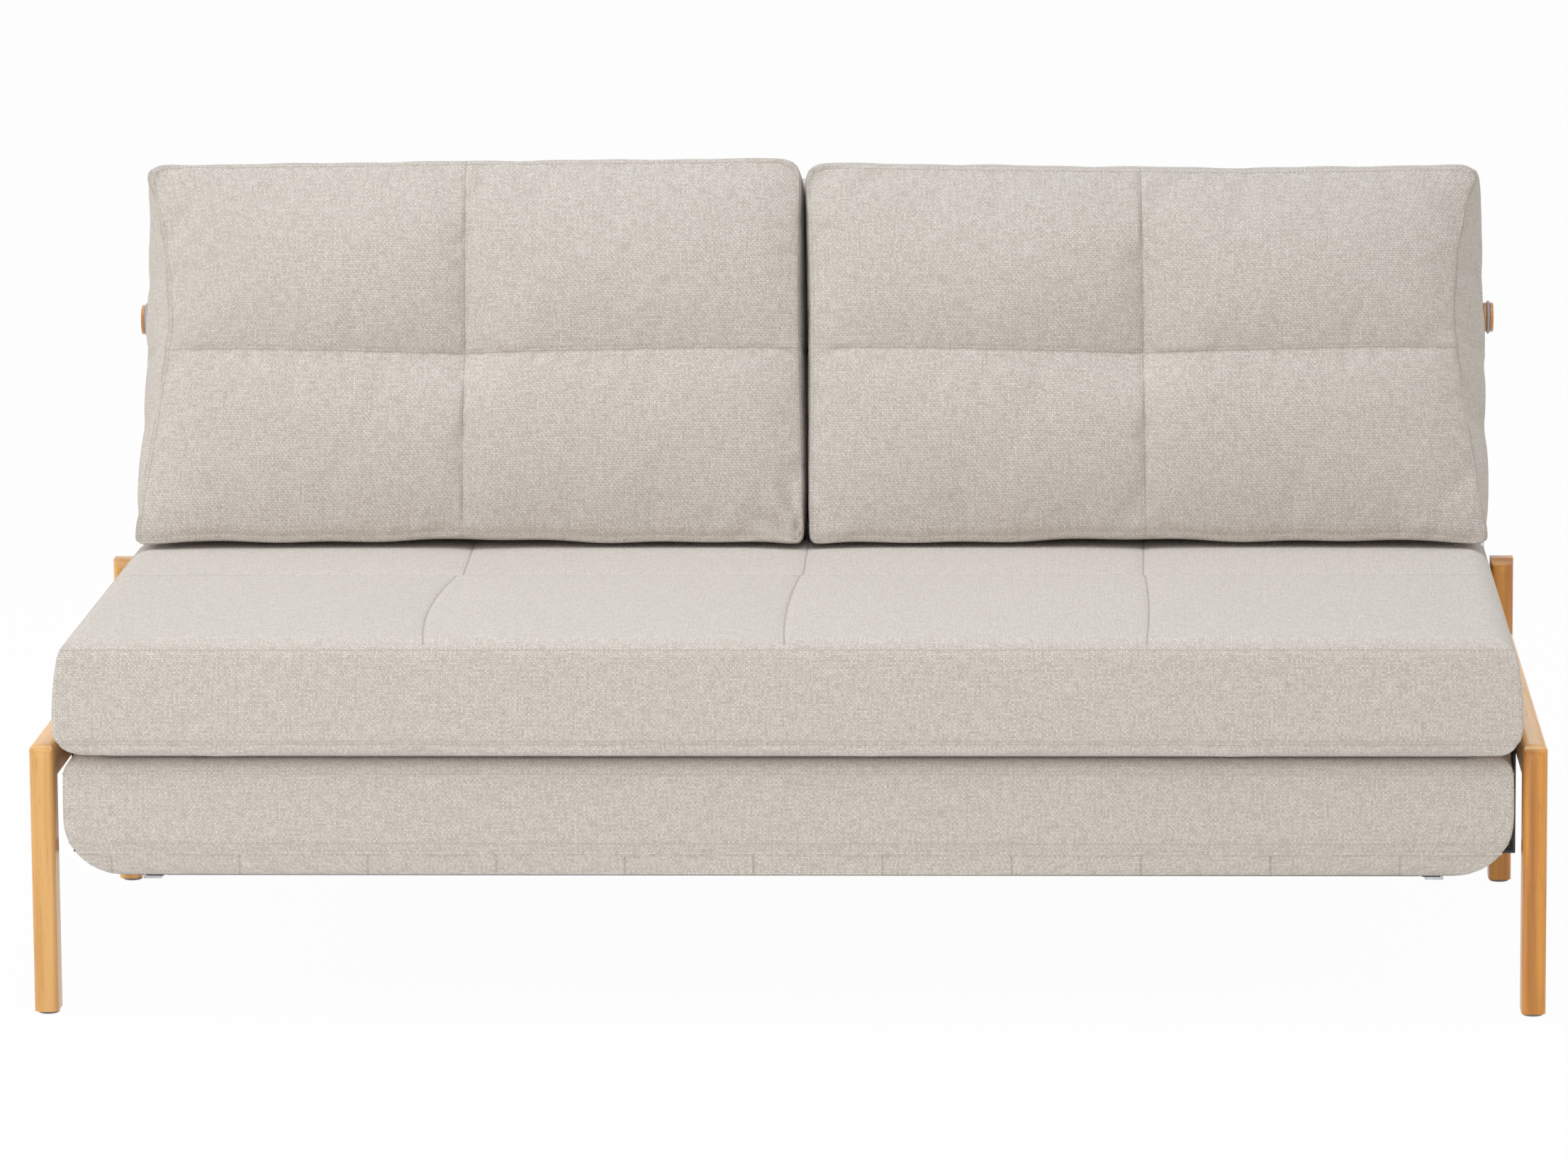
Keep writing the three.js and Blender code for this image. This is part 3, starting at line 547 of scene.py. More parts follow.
def ripple(values, seed, *waves):
    """A wandering line: sines of the given (length, height) with phases set by the seed."""
    line = 0
    for i, (length, height) in enumerate(waves):
        line = line + height * np.sin(2 * math.pi * values / length + seed * (i + 1.7) * 2.3)
    return line


def beside(values, line, width):
    """1 on a line, falling smoothly to 0 at width from it."""
    return np.clip(1 - abs(values - line) / width, 0, 1) ** 2


def along_seams(x, y, columns, crosses, width):
    """1 on any of the seams over a face, falling smoothly to 0 at width from all of them."""
    near = [beside(x, line, width) for line in columns] + [beside(y, line, width) for line in crosses]
    return np.max([*near, np.zeros(len(x))], axis=0)


def past(values, start, length):
    """0 up to start and 1 from start + length on, in a straight line between."""
    return np.clip((values - start) / length, 0, 1)


def turned_up(height, wide, tall):
    """How far a bottom corner has turned in, at some height above its lowest point."""
    return wide * (1 - np.sqrt(1 - (np.clip(tall - height, 0, tall) / tall) ** 2))


def section(name, node, setback, lift, arc, corner, flange, top_seam, slack, seed, foot_arc=0.0, below=0.0,
            columns=(), crosses=(), bows=(), steps=(), crown=0.0, shoulder=0.0):
    """A mattress section: its cover is drawn a little small, sewn rows are pinned and the rest swells.
    setback and lift are how far its front stands behind the node's and its foot above the node's. arc and
    foot_arc round its top and its foot. corner is the width and height in which its bottom corners turn up,
    starting at the distance below under its foot. flange and top_seam are how far its two front seams stand
    from the edges of its cover, and shoulder is how much its ends draw in towards the top. The seam of each
    column bows in front of the cross seam and steps aside behind it. Returns the piece, its index and its
    rows."""
    low, high = (np.array(end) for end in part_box(node))
    half = high[0] - SIDE_TUCK
    front, rear = low[1] + setback, high[1] - REAR_TUCK
    bottom, top = low[2] + lift, high[2] - crown
    seams = (bottom + flange, top - top_seam)
    axes = [rows(-half, half, arc, pitch=0.0105, seams=columns),
            rows(front, rear, arc, pitch=0.0115, seams=crosses),
            rows(bottom, top, arc, pitch=0.009, seams=seams)]
    points, grid, quads, sides, index = block(axes, arc, foot_arc)
    x, y, z = grid.T
    outward = np.zeros_like(points)
    outward[:, 0] = (x == half) * 1.0 - (x == -half) * 1.0
    outward[:, 1] = (y == rear) * 1.0 - (y == front) * 1.0
    wall = outward.any(axis=1)
    cover = z == axes[2][-1]
    # The ends turn up at the foot and draw in from a quarter of the height
    draws_from = 0.25
    up = (points[:, 2] - bottom) / (top - bottom)
    inset = turned_up(points[:, 2] - bottom + below, *corner)
    inset += shoulder * np.clip(up - draws_from, 0, 1) ** 2 / (1 - draws_from) ** 2
    points[:, 0] *= (half - inset) / half
    # The walls have a groove at each seam, a wavering lip under the lower one and a slight belly
    low_groove, high_groove, lip_height, belly_height = 0.0009, 0.0004, 0.001, 0.0015
    around = x + y
    groove = beside(z, seams[0], width=0.004) * low_groove + beside(z, seams[1], width=0.003) * high_groove
    lip = lip_height + ripple(around, seed, (0.21, 0.0006), (0.083, 0.0006))
    lip = dome(z, bottom - flange / 3, seams[0], power=2) * lip
    belly = dome(z, bottom, top, power=2) * belly_height
    points += outward * (wall * (lip + belly - groove))[:, None]
    if not below:
        wave = ripple(around, seed + 2, (0.34, 0.0010), (0.127, 0.0008), (0.061, 0.0003))
        points[:, 2] += wall * dome(z, bottom - flange, seams[0] + flange / 4, power=2) * wave
    # The top swells between its seams, each a narrow hollow in a wide and shallow trench. A part of its crown
    # is drawn, and the simulation adds the rest.
    drawn_crown, hollow_depth, trench_depth = crown * 0.55, 0.0012, 0.0022
    middle = dome(x, -half, half, power=8) * dome(y, front, rear, power=6)
    hollow = along_seams(x, y, columns, crosses, width=0.009) * hollow_depth
    trench = along_seams(x, y, columns, crosses, width=0.10) * trench_depth
    points[:, 2] += cover * middle * (drawn_crown - hollow - trench)
    for line, bow, step in zip(columns, bows, steps):
        before = dome(y, front, crosses[0], power=2) * bow
        behind = (rear - y) / (rear - crosses[0]) * step
        points[:, 0] += cover * beside(x, line, width=0.12) * np.where(y < crosses[0], before, behind)
    sewn = [(x == line) & cover for line in columns] + [(y == line) & cover for line in crosses]
    sewn = np.any([*sewn, np.zeros(len(x), bool)], axis=0)
    low_seam, high_seam = wall & (z == seams[0]), wall & (z == seams[1])
    # All seams are held, the rim of the top, and whatever is under the lower front seam
    under = z < seams[0] - 0.001
    pins = sewn | low_seam | high_seam | under | (cover & wall)
    # Painted shade darkens the cloth along the seams of the top, and less along the two front seams
    low_shade, high_shade = 0.10 if below else 0.25, 0.12
    drawn = np.max([sewn * 1.0, low_seam * low_shade, high_seam * high_shade], axis=0)
    piece = cloth_mesh(name, points, grid, quads, sides, section_linen, drawn)
    # The foam's rounded edge keeps the cover close beside its top seam
    edge_width, held_share = 0.06, 0.7
    from_edge = np.minimum(half - abs(x), np.minimum(y - front, rear - y))
    by_seam = wall * beside(z, seams[1], width=0.04)
    by_edge = cover * np.clip(1 - from_edge / edge_width, 0, 1)
    swell(piece, pins, cap=0.004, slack=slack, ease=1 - held_share * np.maximum(by_seam, by_edge))
    refine(piece)
    return piece, index, axes


def round_the_walls(index, level):
    """The points of one row round a section's walls."""
    return [*index[:, 0, level], *index[-1, :, level], *index[::-1, -1, level], *index[0, ::-1, level]]


CORNER = (0.058, 0.054)  # the width and height in which the bottom corners turn up
BAND_DEPTH = 0.0203  # how much of that height is on the front band
LOWER_FLANGE, LOWER_TOP_SEAM = 0.004, 0.013
lower, index, axes = section(
    "lower_section", "lower_mattress", setback=0.0070, lift=-0.0008, arc=0.018, corner=CORNER,
    below=BAND_DEPTH, flange=LOWER_FLANGE, top_seam=LOWER_TOP_SEAM, slack=0.012, seed=5.0)
upholster(lower, "lower_mattress", "base")
low_row = row_at(axes[2], axes[2][0] + LOWER_FLANGE + SEAM_ROWS[2])
high_row = row_at(axes[2], axes[2][-1] - LOWER_TOP_SEAM - SEAM_ROWS[1])
lower_rows = [round_the_walls(index, low_row), round_the_walls(index, high_row)]

# Topstitching: spun polyester thread near the cloth's own colour, sewn by machine a few millimetres from a
# seam, through the cover and the seam's turned edges. There are about three stitches to the centimetre.


def thread_finish(name):
    """Spun polyester thread, lighter and darker with its twist."""
    net = new_net(name)
    twist = net.noise(net.place(), scale=3000.0)
    shade = net.mix(twist, (0.70, 0.66, 0.61), (0.54, 0.495, 0.44))
    return net.finish(Base_Color=shade, Roughness=0.7 + twist * 0.2)


def stitch_tree(material):
    """Lays small stitches along a row of edges."""
    tree = bpy.data.node_groups.new("topstitch", "GeometryNodeTree")
    for label, kind in (("Row", "Geometry"), ("Pitch", "Float"), ("Length", "Float"), ("Width", "Float")):
        tree.interface.new_socket(label, in_out="INPUT", socket_type="NodeSocket" + kind)
    tree.interface.new_socket("Stitches", in_out="OUTPUT", socket_type="NodeSocketGeometry")

    def node(kind, settings=None, **links):
        made = tree.nodes.new(kind)
        for key, value in (settings or {}).items():
            setattr(made, key, value)
        for key, value in links.items():
            socket = made.inputs[key.replace("_", " ")]
            if isinstance(value, bpy.types.NodeSocket):
                tree.links.new(value, socket)
            else:
                socket.default_value = value
        return made

    given = node("NodeGroupInput").outputs
    line = node("GeometryNodeMeshToCurve", Mesh=given["Row"])
    even = node("GeometryNodeResampleCurve", {"mode": "LENGTH"}, Curve=line.outputs[0],
                Length=given["Pitch"])
    bead = node("GeometryNodeMeshUVSphere", Segments=6, Rings=4, Radius=0.5)
    size = node("ShaderNodeCombineXYZ", X=given["Width"], Y=given["Width"], Z=given["Length"])
    stitch = node("GeometryNodeTransform", Geometry=bead.outputs[0], Scale=size.outputs[0])
    along = node("GeometryNodeInputTangent")
    turn = node("FunctionNodeAlignRotationToVector", {"axis": "Z"}, Vector=along.outputs[0])
    laid = node("GeometryNodeInstanceOnPoints", Points=even.outputs[0], Instance=stitch.outputs[0],
                Rotation=turn.outputs[0])
    plain = node("GeometryNodeRealizeInstances", Geometry=laid.outputs[0])
    coloured = node("GeometryNodeSetMaterial", Geometry=plain.outputs[0], Material=material)
    out = tree.nodes.new("NodeGroupOutput")
    tree.links.new(coloured.outputs[0], out.inputs["Stitches"])
    return tree


topstitch = stitch_tree(thread_finish("linen_thread"))
STITCH_SIZES = {"Pitch": 0.0034, "Length": 0.0026, "Width": 0.0011}
STITCH_RISE = 0.0003  # how far a stitch's middle stands out of the cloth


def sew(name, piece, paths, body):
    """Topstitching along rows of a finished cover's points, made one plain mesh on the body."""
    place = np.array([v.co for v in piece.data.vertices])
    normal = np.array([v.normal for v in piece.data.vertices])
    points, edges = [], []
    for path in paths:
        first = len(points)
        points += (place[path] + normal[path] * STITCH_RISE).tolist()
        edges += [(i, i + 1) for i in range(first, len(points) - 1)]
    line = bpy.data.meshes.new(name)
    line.from_pydata(points, edges, [])
    stitches = bpy.data.objects.new(name, line)
    scene.collection.objects.link(stitches)
    modifier = stitches.modifiers.new("stitches", "NODES")
    modifier.node_group = topstitch
    for item in topstitch.interface.items_tree:
        if item.name in STITCH_SIZES:
            modifier[item.identifier] = STITCH_SIZES[item.name]
    evaluated = stitches.evaluated_get(bpy.context.evaluated_depsgraph_get())
    mesh = bpy.data.meshes.new_from_object(evaluated)
    stitches.modifiers.clear()
    stitches.data = mesh
    mesh.polygons.foreach_set("use_smooth", [True] * len(mesh.polygons))
    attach(stitches, body)


sew("lower_section_stitching", lower, lower_rows, "base")

# Front band: the front board's own linen cover, stapled on. It carries the curve of the lower section's
# bottom corners on, and the side boards behind it are trimmed to the same curve.

low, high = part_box("base_front_board")
half = -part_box("lower_mattress")[0].x - SIDE_TUCK
board_edge, band_setback, behind_band = 0.002, 0.0040, 0.0015
axes = [rows(-half, half, board_edge, pitch=0.014),
        rows(low.y + band_setback, high.y, board_edge, pitch=0.01),
        rows(low.z, high.z, board_edge, pitch=0.004)]
points, grid, quads, sides, _ = block(axes, 0.0, 0.0)
points[:, 0] *= (half - turned_up(points[:, 2] - low.z, *CORNER)) / half
band = cloth_mesh("front_band", points, grid, quads, sides, band_linen)
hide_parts("base_front_board")
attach(band, "base")
for board in side_boards:
    for point in board.data.vertices:
        limit = half - behind_band - float(turned_up(point.co.z - low.z, *CORNER))
        point.co.x = max(-limit, min(limit, point.co.x))

# Fold: a linen tape sewn between the two sections, on which the upper one turns over. Its beaded front edge
# is rolled flat into the groove between them.

bead_starts = -0.4735
bead_y, bead_z = -0.4781, 0.2629
rolled_y, rolled_z = -0.4590, 0.2630
flat_y, flat_z = 0.25, 0.2  # how much of the bead is left each way
tape = carried("fold_hinge_tape", section_linen, "base")
for point in tape.data.vertices:
    if point.co.y < bead_starts:
        point.co.y = rolled_y + (point.co.y - bead_y) * flat_y
        point.co.z = rolled_z + (point.co.z - bead_z) * flat_z

# Upper section: the same slab and cover, but its top is quilted in four by two by seams through the cover.
# It lies loose on the lower one, sewn to it only along the fold at the front.

UPPER_FLANGE, UPPER_TOP_SEAM = 0.0125, 0.009
upper, index, axes = section(
    "upper_section", "upper_mattress", setback=0.0035, lift=0.0005, arc=0.018, foot_arc=0.008,
    corner=(0.030, 0.028), columns=(-0.3615, 0.0, 0.3615), bows=(-0.0105, -0.0050, 0.0035),
    steps=(0.0065, 0.0030, -0.0015), crosses=(-0.070,), crown=0.005, shoulder=0.009,
    flange=UPPER_FLANGE, top_seam=UPPER_TOP_SEAM, slack=0.010, seed=1.0)
upholster(upper, "upper_mattress", "seat_top")
low_row = row_at(axes[2], axes[2][0] + UPPER_FLANGE + SEAM_ROWS[1])
high_row = row_at(axes[2], axes[2][-1] - UPPER_TOP_SEAM)
upper_rows = [round_the_walls(index, low_row), round_the_walls(index, high_row)]
sew("upper_section_stitching", upper, upper_rows, "seat_top")

# Back: a boxed foam panel on a welded steel frame. It turns on the ratchet hinges and is drawn in its own
# frame, with Y along it and Z towards the sitter, then leant against its pivot.

LEAN_ANGLE = math.radians(74)  # from lying flat to leaning at rest
pivot = Vector(next(joint for joint in frame["joints"] if joint["name"] == "backrest_recline")["pos_m"])
LEAN = Matrix.Translation(pivot) @ Matrix.Rotation(LEAN_ANGLE, 4, "X")


def lean_back(piece):
    """From the back's own frame to the shared frame."""
    piece.data.transform(LEAN)
    piece.data.update()


back_low, back_high = -0.077, 0.543
back_rear, back_front = -0.0475, 0.045
back_middle, back_reach = 0.233, 0.310
foot_half, full_half = 0.7190, 0.7252
back_arc, back_crown = 0.010, 0.003
axes = [rows(-foot_half, foot_half, back_arc, pitch=0.014),
        rows(back_low, back_high, back_arc, pitch=0.014),
        rows(back_rear, back_front, back_arc, pitch=0.012)]
points, grid, quads, sides, _ = block(axes, back_arc, back_arc)
x, y, z = grid.T
# It is narrower at its foot, between the hinges, and draws in a little towards its top
top_draw = 0.013
widen = past(y, start=0.189, length=0.088)
points[:, 0] *= 1 + (full_half / foot_half - 1) * widen ** 2 * (3 - 2 * widen)
points[:, 0] *= 1 - top_draw * past(y, start=0.36, length=0.17) ** 2
points = turn_corners(points, (0, back_middle), (full_half, back_reach), foot_radius=0.004,
                      top_radius=0.020)
face = z == axes[2][-1]
swelling = dome(x, -foot_half, foot_half, power=8) * dome(y, back_low, back_high, power=6)
points[:, 2] += face * swelling * back_crown
back_panel = cloth_mesh("back_panel", points, grid, quads, sides, section_linen)
within = (abs(x) < foot_half) & (y > back_low) & (y < back_high)
swell(back_panel, ~(face & within), cap=0.004, slack=0.008)
refine(back_panel)
lean_back(back_panel)
upholster(back_panel, "back_mattress", "backrest")
for node in ("back_arm_left", "back_arm_right", "back_top_rail", "back_bottom_rail"):
    carried(node, black_steel, "backrest", edge=0.0006)

# Ratchet hinges: a toothed sector on the back, a plate on the rear post, the pin through both and the pawl
# that clicks in the teeth, all pressed or turned steel, zinc plated.

for side in SIDES:
    carried(f"ratchet_sector_{side}", zinc_plate, "backrest")
    carried(f"hinge_plate_{side}", zinc_plate, "base")
    carried(f"hinge_pin_{side}", zinc_plate, "base", edge=0.0006)
    carried(f"pawl_{side}", zinc_plate, f"pawl_{side}")

# Knobs on the back's sides: two turned oak discs with a grey moulded ring held between them, on a stem that
# runs through the inner disc.

knob_wood = oak("knob_wood", "x", (0.70, 0.36, 0.14), (0.50, 0.22, 0.07), 21.0)
ring_grey = moulded("ring_grey", (0.47, 0.44, 0.49), 0.45)
for side in SIDES:
    for disc in ("inner", "outer"):
        carried(f"knob_{disc}_disc_{side}", knob_wood, "backrest", edge=0.0008)
    carried(f"knob_ring_{side}", ring_grey, "backrest", edge=0.0008)

# Loose back cushions: soft fill in a boxed linen cover, the front sewn in four with a row of topstitch by
# each seam. A rolled seam runs round the front, and its outer end draws in at mid height.

# The cushions' linen is a darker copy of the sections': painted shade
cushion_linen = linen("cushion_linen", depth=0.90)
SEAT_LEVEL = 0.3874
CUSHION_INNER = 0.0020  # from the middle of the sofa
CUSHION_FOOT, CUSHION_TOP = 0.1648, 0.5345
CUSHION_REAR, CUSHION_FRONT = 0.0530, 0.2150
CROSS_SEAM = 0.3415
CUSHION_ARC, CUSHION_PITCH = 0.007, 0.0085
CROWN, HOLLOW, DIMPLE, TRENCH = 0.018, 0.0025, 0.022, 0.003  # how high or deep each is on the front
WAIST = 0.031  # how far the rolled seam's outer end draws in at mid height
LEANS = 0.0055  # how far each end of a cushion leans over at its top
ROLL = 0.0012  # how far the rolled seam stands out


def level_foot(depth):
    """Where the level seat cuts a cushion at some depth, along the back."""
    return (SEAT_LEVEL - pivot.z - depth * math.cos(LEAN_ANGLE)) / math.sin(LEAN_ANGLE)


def front_relief(x, y, outer, seam_x, sign):
    """How far a cushion's front stands out of its flat place: its crown, less a hollow in a wide trench at
    each seam, less the dimple where the seams meet. The dimple is long up and to the left in the picture and
    short the other way."""
    left_of, above = sign * (x - seam_x), y - CROSS_SEAM
    wide, tall = np.where(left_of < 0, 0.17, 0.07), np.where(above > 0, 0.14, 0.06)
    dimple = np.clip(1 - np.hypot(left_of / wide, above / tall), 0, 1) ** 1.6
    all_over = dome(x, CUSHION_INNER, outer, power=4) * dome(y, CUSHION_FOOT, CUSHION_TOP, power=3)
    hollow = HOLLOW * along_seams(x, y, (seam_x,), (CROSS_SEAM,), width=0.007) * all_over
    by_cross = np.maximum(beside(x, seam_x, width=0.11), beside(y, CROSS_SEAM, width=0.09))
    trench = TRENCH * by_cross * all_over
    return CROWN * all_over - hollow - DIMPLE * dimple - trench


def caught_corner(x, y):
    """A corner at the foot by the other cushion that is caught, with two short folds running into it.
    Returns how near to it each point is and how deep in a fold, 0 to 1."""
    across, above = x - CUSHION_INNER, y - CUSHION_FOOT
    angle = np.arctan2(above, across)
    near = np.clip(1 - np.hypot(across, above) / 0.060, 0, 1)
    return near, np.maximum(beside(angle, 0.50, width=0.30), beside(angle, 1.15, width=0.30))


def cushion(side, outer, seam_x, top_line, rolled_down, puckered, seed):
    """One back cushion. top_line gives the sag of its top edge from the middle of the sofa outwards, and
    rolled_down how far its front seam sits below the swell of its top. puckered says that a corner is
    caught."""
    sign = -1 if side == "left" else 1
    inner = CUSHION_INNER
    axes = [rows(inner, outer, CUSHION_ARC, CUSHION_PITCH, seams=(seam_x,)),
            rows(CUSHION_FOOT, CUSHION_TOP, CUSHION_ARC, CUSHION_PITCH, seams=(CROSS_SEAM,)),
            rows(CUSHION_REAR, CUSHION_FRONT, CUSHION_ARC, CUSHION_PITCH)]
    points, grid, quads, sides, index = block(axes, CUSHION_ARC, CUSHION_ARC)
    x, y, z = grid.T
    centre = ((inner + outer) / 2, (CUSHION_FOOT + CUSHION_TOP) / 2)
    half = ((outer - inner) / 2, (CUSHION_TOP - CUSHION_FOOT) / 2)
    points = turn_corners(points, centre, half, foot_radius=0.011, top_radius=0.021)
    # How far up it, outwards and to the front each point is, 0 to 1
    up = (points[:, 1] - CUSHION_FOOT) / (CUSHION_TOP - CUSHION_FOOT)
    out = (points[:, 0] - inner) / (outer - inner)
    fore = (z - CUSHION_REAR) / (CUSHION_FRONT - CUSHION_REAR)
    rise, foot = np.clip(up, 0, 1), np.clip(1 - up, 0, 1) ** 2
    face = z == CUSHION_FRONT
    rim = (x == inner) | (x == outer) | (y == CUSHION_FOOT) | (y == CUSHION_TOP)
    points[:, 2] += face * front_relief(x, y, outer, seam_x, sign)
    # The cross seam sags towards where the seams meet
    sag, sag_reach = 0.005, 0.25
    by_meeting = np.clip(1 - abs(x - seam_x) / sag_reach, 0, 1) * dome(y, 0.20, 0.47, power=2)
    points[:, 1] -= face * sag * by_meeting
    # The rolled front seam draws in at mid height, and the boxing wavers behind it
    draw = dome(rise ** 1.25, 0, 1, power=1.6) * past(fore, start=0.35, length=0.65) ** 1.5
    inner_share, end_share = 0.12, 0.25
    ends = past(out, 1 - end_share, end_share) - inner_share * np.clip((end_share - out) / end_share, 0, 1)
    points[:, 0] -= draw * ends * WAIST
    points[:, 0] -= LEANS * out * rise
    boxing = rim & ~face & (z != CUSHION_REAR)
    wander = ripple(points[:, 1] + points[:, 0], seed, (0.16, 0.0012), (0.071, 0.0009))
    points[:, 0] += boxing * (x == outer) * wander
    points[:, 1] += boxing * (y == CUSHION_TOP) * wander * 0.3
    # Its foot follows the level seat, and the rolled seam stands a little above it
    points[:, 1] += (level_foot(points[:, 2]) - CUSHION_FOOT) * foot
    lift = np.interp(out, (0, 0.06, 0.5, 0.92, 1), (-0.001, 0.002, 0.006, 0.003, -0.001))
    lift += ripple(x, seed + 1, (0.31, 0.0016), (0.118, 0.0012)) * dome(out, 0, 1, power=4)
    points[:, 1] += foot ** 3 * past(fore, start=0.6, length=0.4) ** 2 * lift
    # Its top edge sags, and the rolled seam along it sits lower than the swell behind
    points[:, 1] += rise ** 3 * np.interp(out, *zip(*top_line))
    at_edge = past(up, start=0.85, length=0.15) * past(fore, start=0.55, length=0.45) ** 2
    points[:, 1] -= rolled_down * at_edge
    rolled = face & rim
    points[rolled, 2] += ROLL
    points[:, 0] += rolled * ((x == outer) * ROLL - (x == inner) * ROLL / 2)
    points[:, 1] += rolled * ((y == CUSHION_TOP) * 0.001 - (y == CUSHION_FOOT) * ROLL)
    # Outwards is to the left on the left cushion, so it is drawn as on the right and turned over
    if sign < 0:
        points[:, 0] *= -1
        quads = quads[:, ::-1]
    # The inner ends of both lean one way, to the left in the picture
    points[:, 0] -= LEANS * (1 - out) * rise
    sewn = face & ((x == seam_x) | (y == CROSS_SEAM))
    pins = sewn | rolled | (z == CUSHION_REAR) | (y == CUSHION_FOOT)
    # Painted shade darkens the cloth by the seams: the cross, the boxing's front row, and the face's foot and
    # outer end
    front_row = rim & (z == axes[2][-2]) & (y > CUSHION_FOOT)
    foot_row, outer_row = face & (y == axes[1][3]), face & (x == outer)
    drawn = np.max([sewn * 0.6, front_row * 0.7, foot_row * 0.45, outer_row * 0.35], axis=0)
    if puckered:
        puff, fold_depth = 0.008, 0.017
        near, folds = caught_corner(x, y)
        folds = folds * face
        points[:, 2] += face * near * puff - folds * near ** 0.5 * fold_depth
        # Painted shade darkens the folds
        drawn = np.maximum(drawn, folds * near ** 0.5)
    body = f"cushion_{side}"
    piece = cloth_mesh(body + "_cover", points, grid, quads, sides, cushion_linen, drawn)
    # The top and the end by the other cushion may hardly swell
    ease = 1 - 0.9 * (y == CUSHION_TOP) - 0.7 * (x == inner)
    swell(piece, pins, cap=0.012, slack=0.014, pressure=4.5, ease=ease)
    refine(piece)
    lean_back(piece)
    upholster(piece, f"back_cushion_{side}", body)
    column = row_at(axes[0], seam_x - sign * SEAM_ROWS[1])
    level = row_at(axes[1], CROSS_SEAM + SEAM_ROWS[1])
    by_seams = [list(index[column, 2:-2, -1]), list(index[2:-2, level, -1])]
    ring = [*index[2:-2, 2, -1], *index[-3, 2:-2, -1], *index[-3:1:-1, -3, -1], *index[2, -3:1:-1, -1]]
    sew(body + "_stitching", piece, [*by_seams, ring], body)


cushion("left", outer=0.7150, seam_x=0.365, top_line=[(0, 0.003), (0.5, 0.001), (1, -0.003)],
        rolled_down=0.003, puckered=True, seed=4.0)
cushion("right", outer=0.7195, seam_x=0.359,
        top_line=[(0, 0.003), (0.35, -0.001), (0.65, -0.004), (1, -0.001)],
        rolled_down=0.010, puckered=False, seed=9.0)

# Pull-out frame: welded square tube with two birch slats, on runners under the base. Its folding legs and
# those on the back are turned steel struts, black as the frame.

for node in ("pullout_front_bar", "pullout_rear_bar", "pullout_side_tube_left", "pullout_side_tube_right"):
    carried(node, black_steel, "pullout")
birch_crossways = birch("birch_crossways", "x")
for i in (1, 2):
    carried(f"pullout_slat_{i}", birch_crossways, "pullout", edge=0.0008)
for leg in ("pullout_leg_left", "pullout_leg_right", "back_leg_left", "back_leg_right"):
    carried(leg, black_steel, leg)

# Studio: a pale floor that meets a white room without a line, soft lamps in front, at both sides, behind
# and overhead, and a camera where the photograph's stood.

FLOOR_REACH = 30.0
FLOOR_WHITE = 0.97  # the share of plain white that the camera sees of the floor
LAMPS = (  # name, place, what it is turned to, size, watts and colour
    ("key", (-2.4, -2.4, 3.2), (0, 0, 0.4), 2.6, 15, (0.96, 0.98, 1.0)),
    ("left", (-3.8, -1.5, 1.4), (0, 0, 0.4), 2.2, 42, (1.0, 0.99, 0.98)),
    ("right", (3.8, -1.5, 1.4), (0, 0, 0.4), 2.2, 6, (1.0, 0.99, 0.98)),
    ("front", (0, -3.4, 0.5), (0, 0, 0.25), 2.4, 21, (0.99, 0.98, 0.98)),
    ("left_rim", (-3.4, 1.4, 1.2), (0, 0, 0.5), 1.6, 9, (1, 1, 1)),
    ("right_rim", (3.4, 1.4, 1.2), (0, 0, 0.5), 1.6, 9, (1, 1, 1)),
    ("overhead", (0.0, -0.5, 3.4), (0, -0.2, 0.4), 2.4, 51, (0.85, 0.93, 1.0)))
CAMERA_PLACE = (0.321, -8.033, 1.658)
CAMERA_LENS, CAMERA_SENSOR = 178.56, 36.0  # millimetres
CAMERA_TURN, CAMERA_DIP, CAMERA_ROLL = 2.43, 9.193, -0.413  # degrees


def seen(net):
    """1 for the camera's own rays, straight or by way of a gloss, and 0 for light that bounces."""
    path = net.node("ShaderNodeLightPath").socket.node
    camera_ray, glossy_ray = (Sum(net, path.outputs[f"Is {kind} Ray"]) for kind in ("Camera", "Glossy"))
    return camera_ray.larger(glossy_ray)


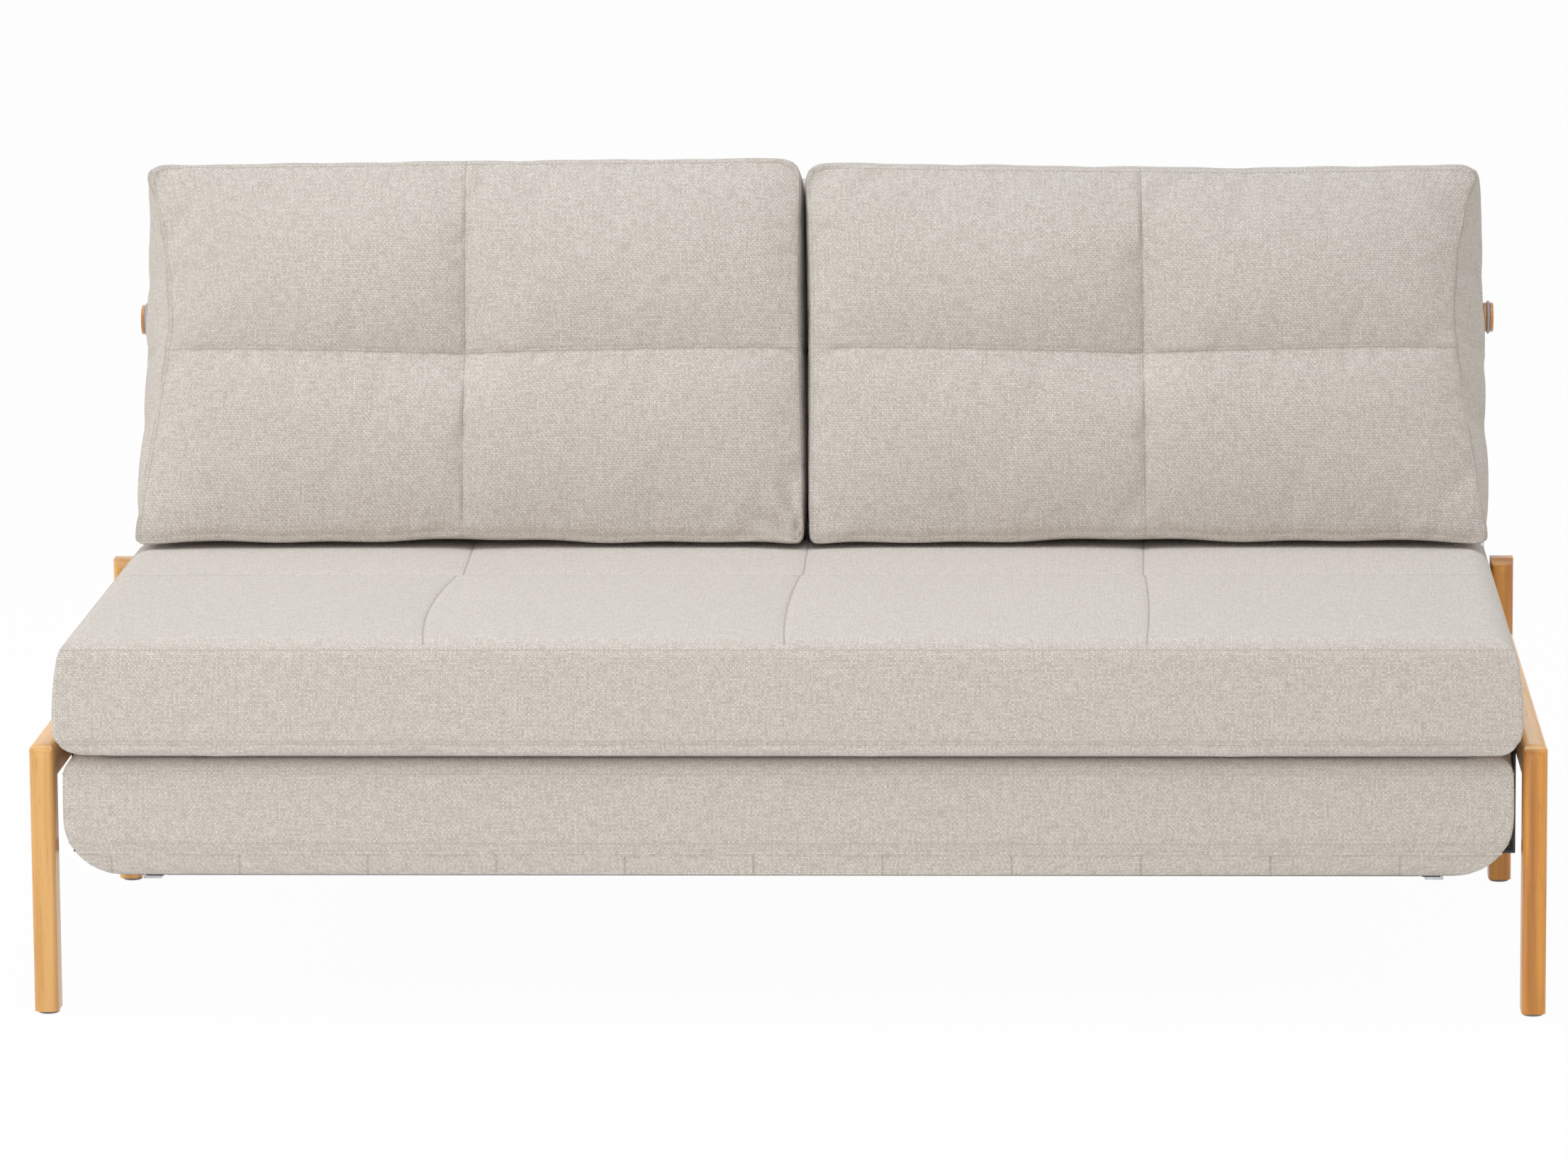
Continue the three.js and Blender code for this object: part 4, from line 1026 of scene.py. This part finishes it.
def studio_white(name, share):
    """Matt white that shows the camera mostly plain white, so that only soft shadows tell the floor."""
    net = new_net(name)
    matt = net.node("ShaderNodeBsdfDiffuse", sockets={"Color": (0.86, 0.86, 0.86)})
    plain = net.node("ShaderNodeEmission", sockets={"Color": (1, 1, 1), "Strength": 1.0})
    both = net.node("ShaderNodeMixShader", sockets={0: seen(net) * share, 1: matt, 2: plain})
    net.node("ShaderNodeOutputMaterial", sockets={"Surface": both})
    return net.owner


floor_mesh = bpy.data.meshes.new("floor")
floor_corners = [(x * FLOOR_REACH, y * FLOOR_REACH, 0) for x, y in ((-1, -1), (1, -1), (1, 1), (-1, 1))]
floor_mesh.from_pydata(floor_corners, [], [(0, 1, 2, 3)])
floor_mesh.materials.append(studio_white("studio_floor", FLOOR_WHITE))
floor = bpy.data.objects.new("floor", floor_mesh)
scene.collection.objects.link(floor)

world = bpy.data.worlds.new("studio")
scene.world = world
room = Net(world)
ambient = room.node("ShaderNodeBackground", sockets={"Color": (1, 0.96, 0.89), "Strength": 0.50})
white = room.node("ShaderNodeBackground", sockets={"Color": (1, 1, 1), "Strength": 1.0})
chosen = room.node("ShaderNodeMixShader", sockets={0: seen(room), 1: ambient, 2: white})
room.node("ShaderNodeOutputWorld", sockets={"Surface": chosen})

for name, place, target, size, watts, colour in LAMPS:
    light = bpy.data.lights.new(name, "AREA")
    light.shape = "SQUARE"
    light.size = size
    light.energy = watts
    light.color = colour
    lamp = bpy.data.objects.new(name, light)
    lamp.location = place
    lamp.visible_camera = False
    lamp.rotation_euler = (Vector(target) - Vector(place)).to_track_quat("-Z", "Y").to_euler()
    scene.collection.objects.link(lamp)

camera_data = bpy.data.cameras.new("camera")
camera_data.sensor_width = CAMERA_SENSOR
camera_data.lens = CAMERA_LENS
camera_data.clip_end = 100.0
camera = bpy.data.objects.new("camera", camera_data)
turn, tilt, roll = (Matrix.Rotation(math.radians(angle), 4, axis) for angle, axis in (
    (CAMERA_TURN, "Z"), (90 - CAMERA_DIP, "X"), (CAMERA_ROLL, "Z")))
camera.matrix_world = Matrix.Translation(CAMERA_PLACE) @ (turn @ tilt @ roll)
scene.collection.objects.link(camera)
scene.camera = camera
scene.view_settings.view_transform = "Standard"
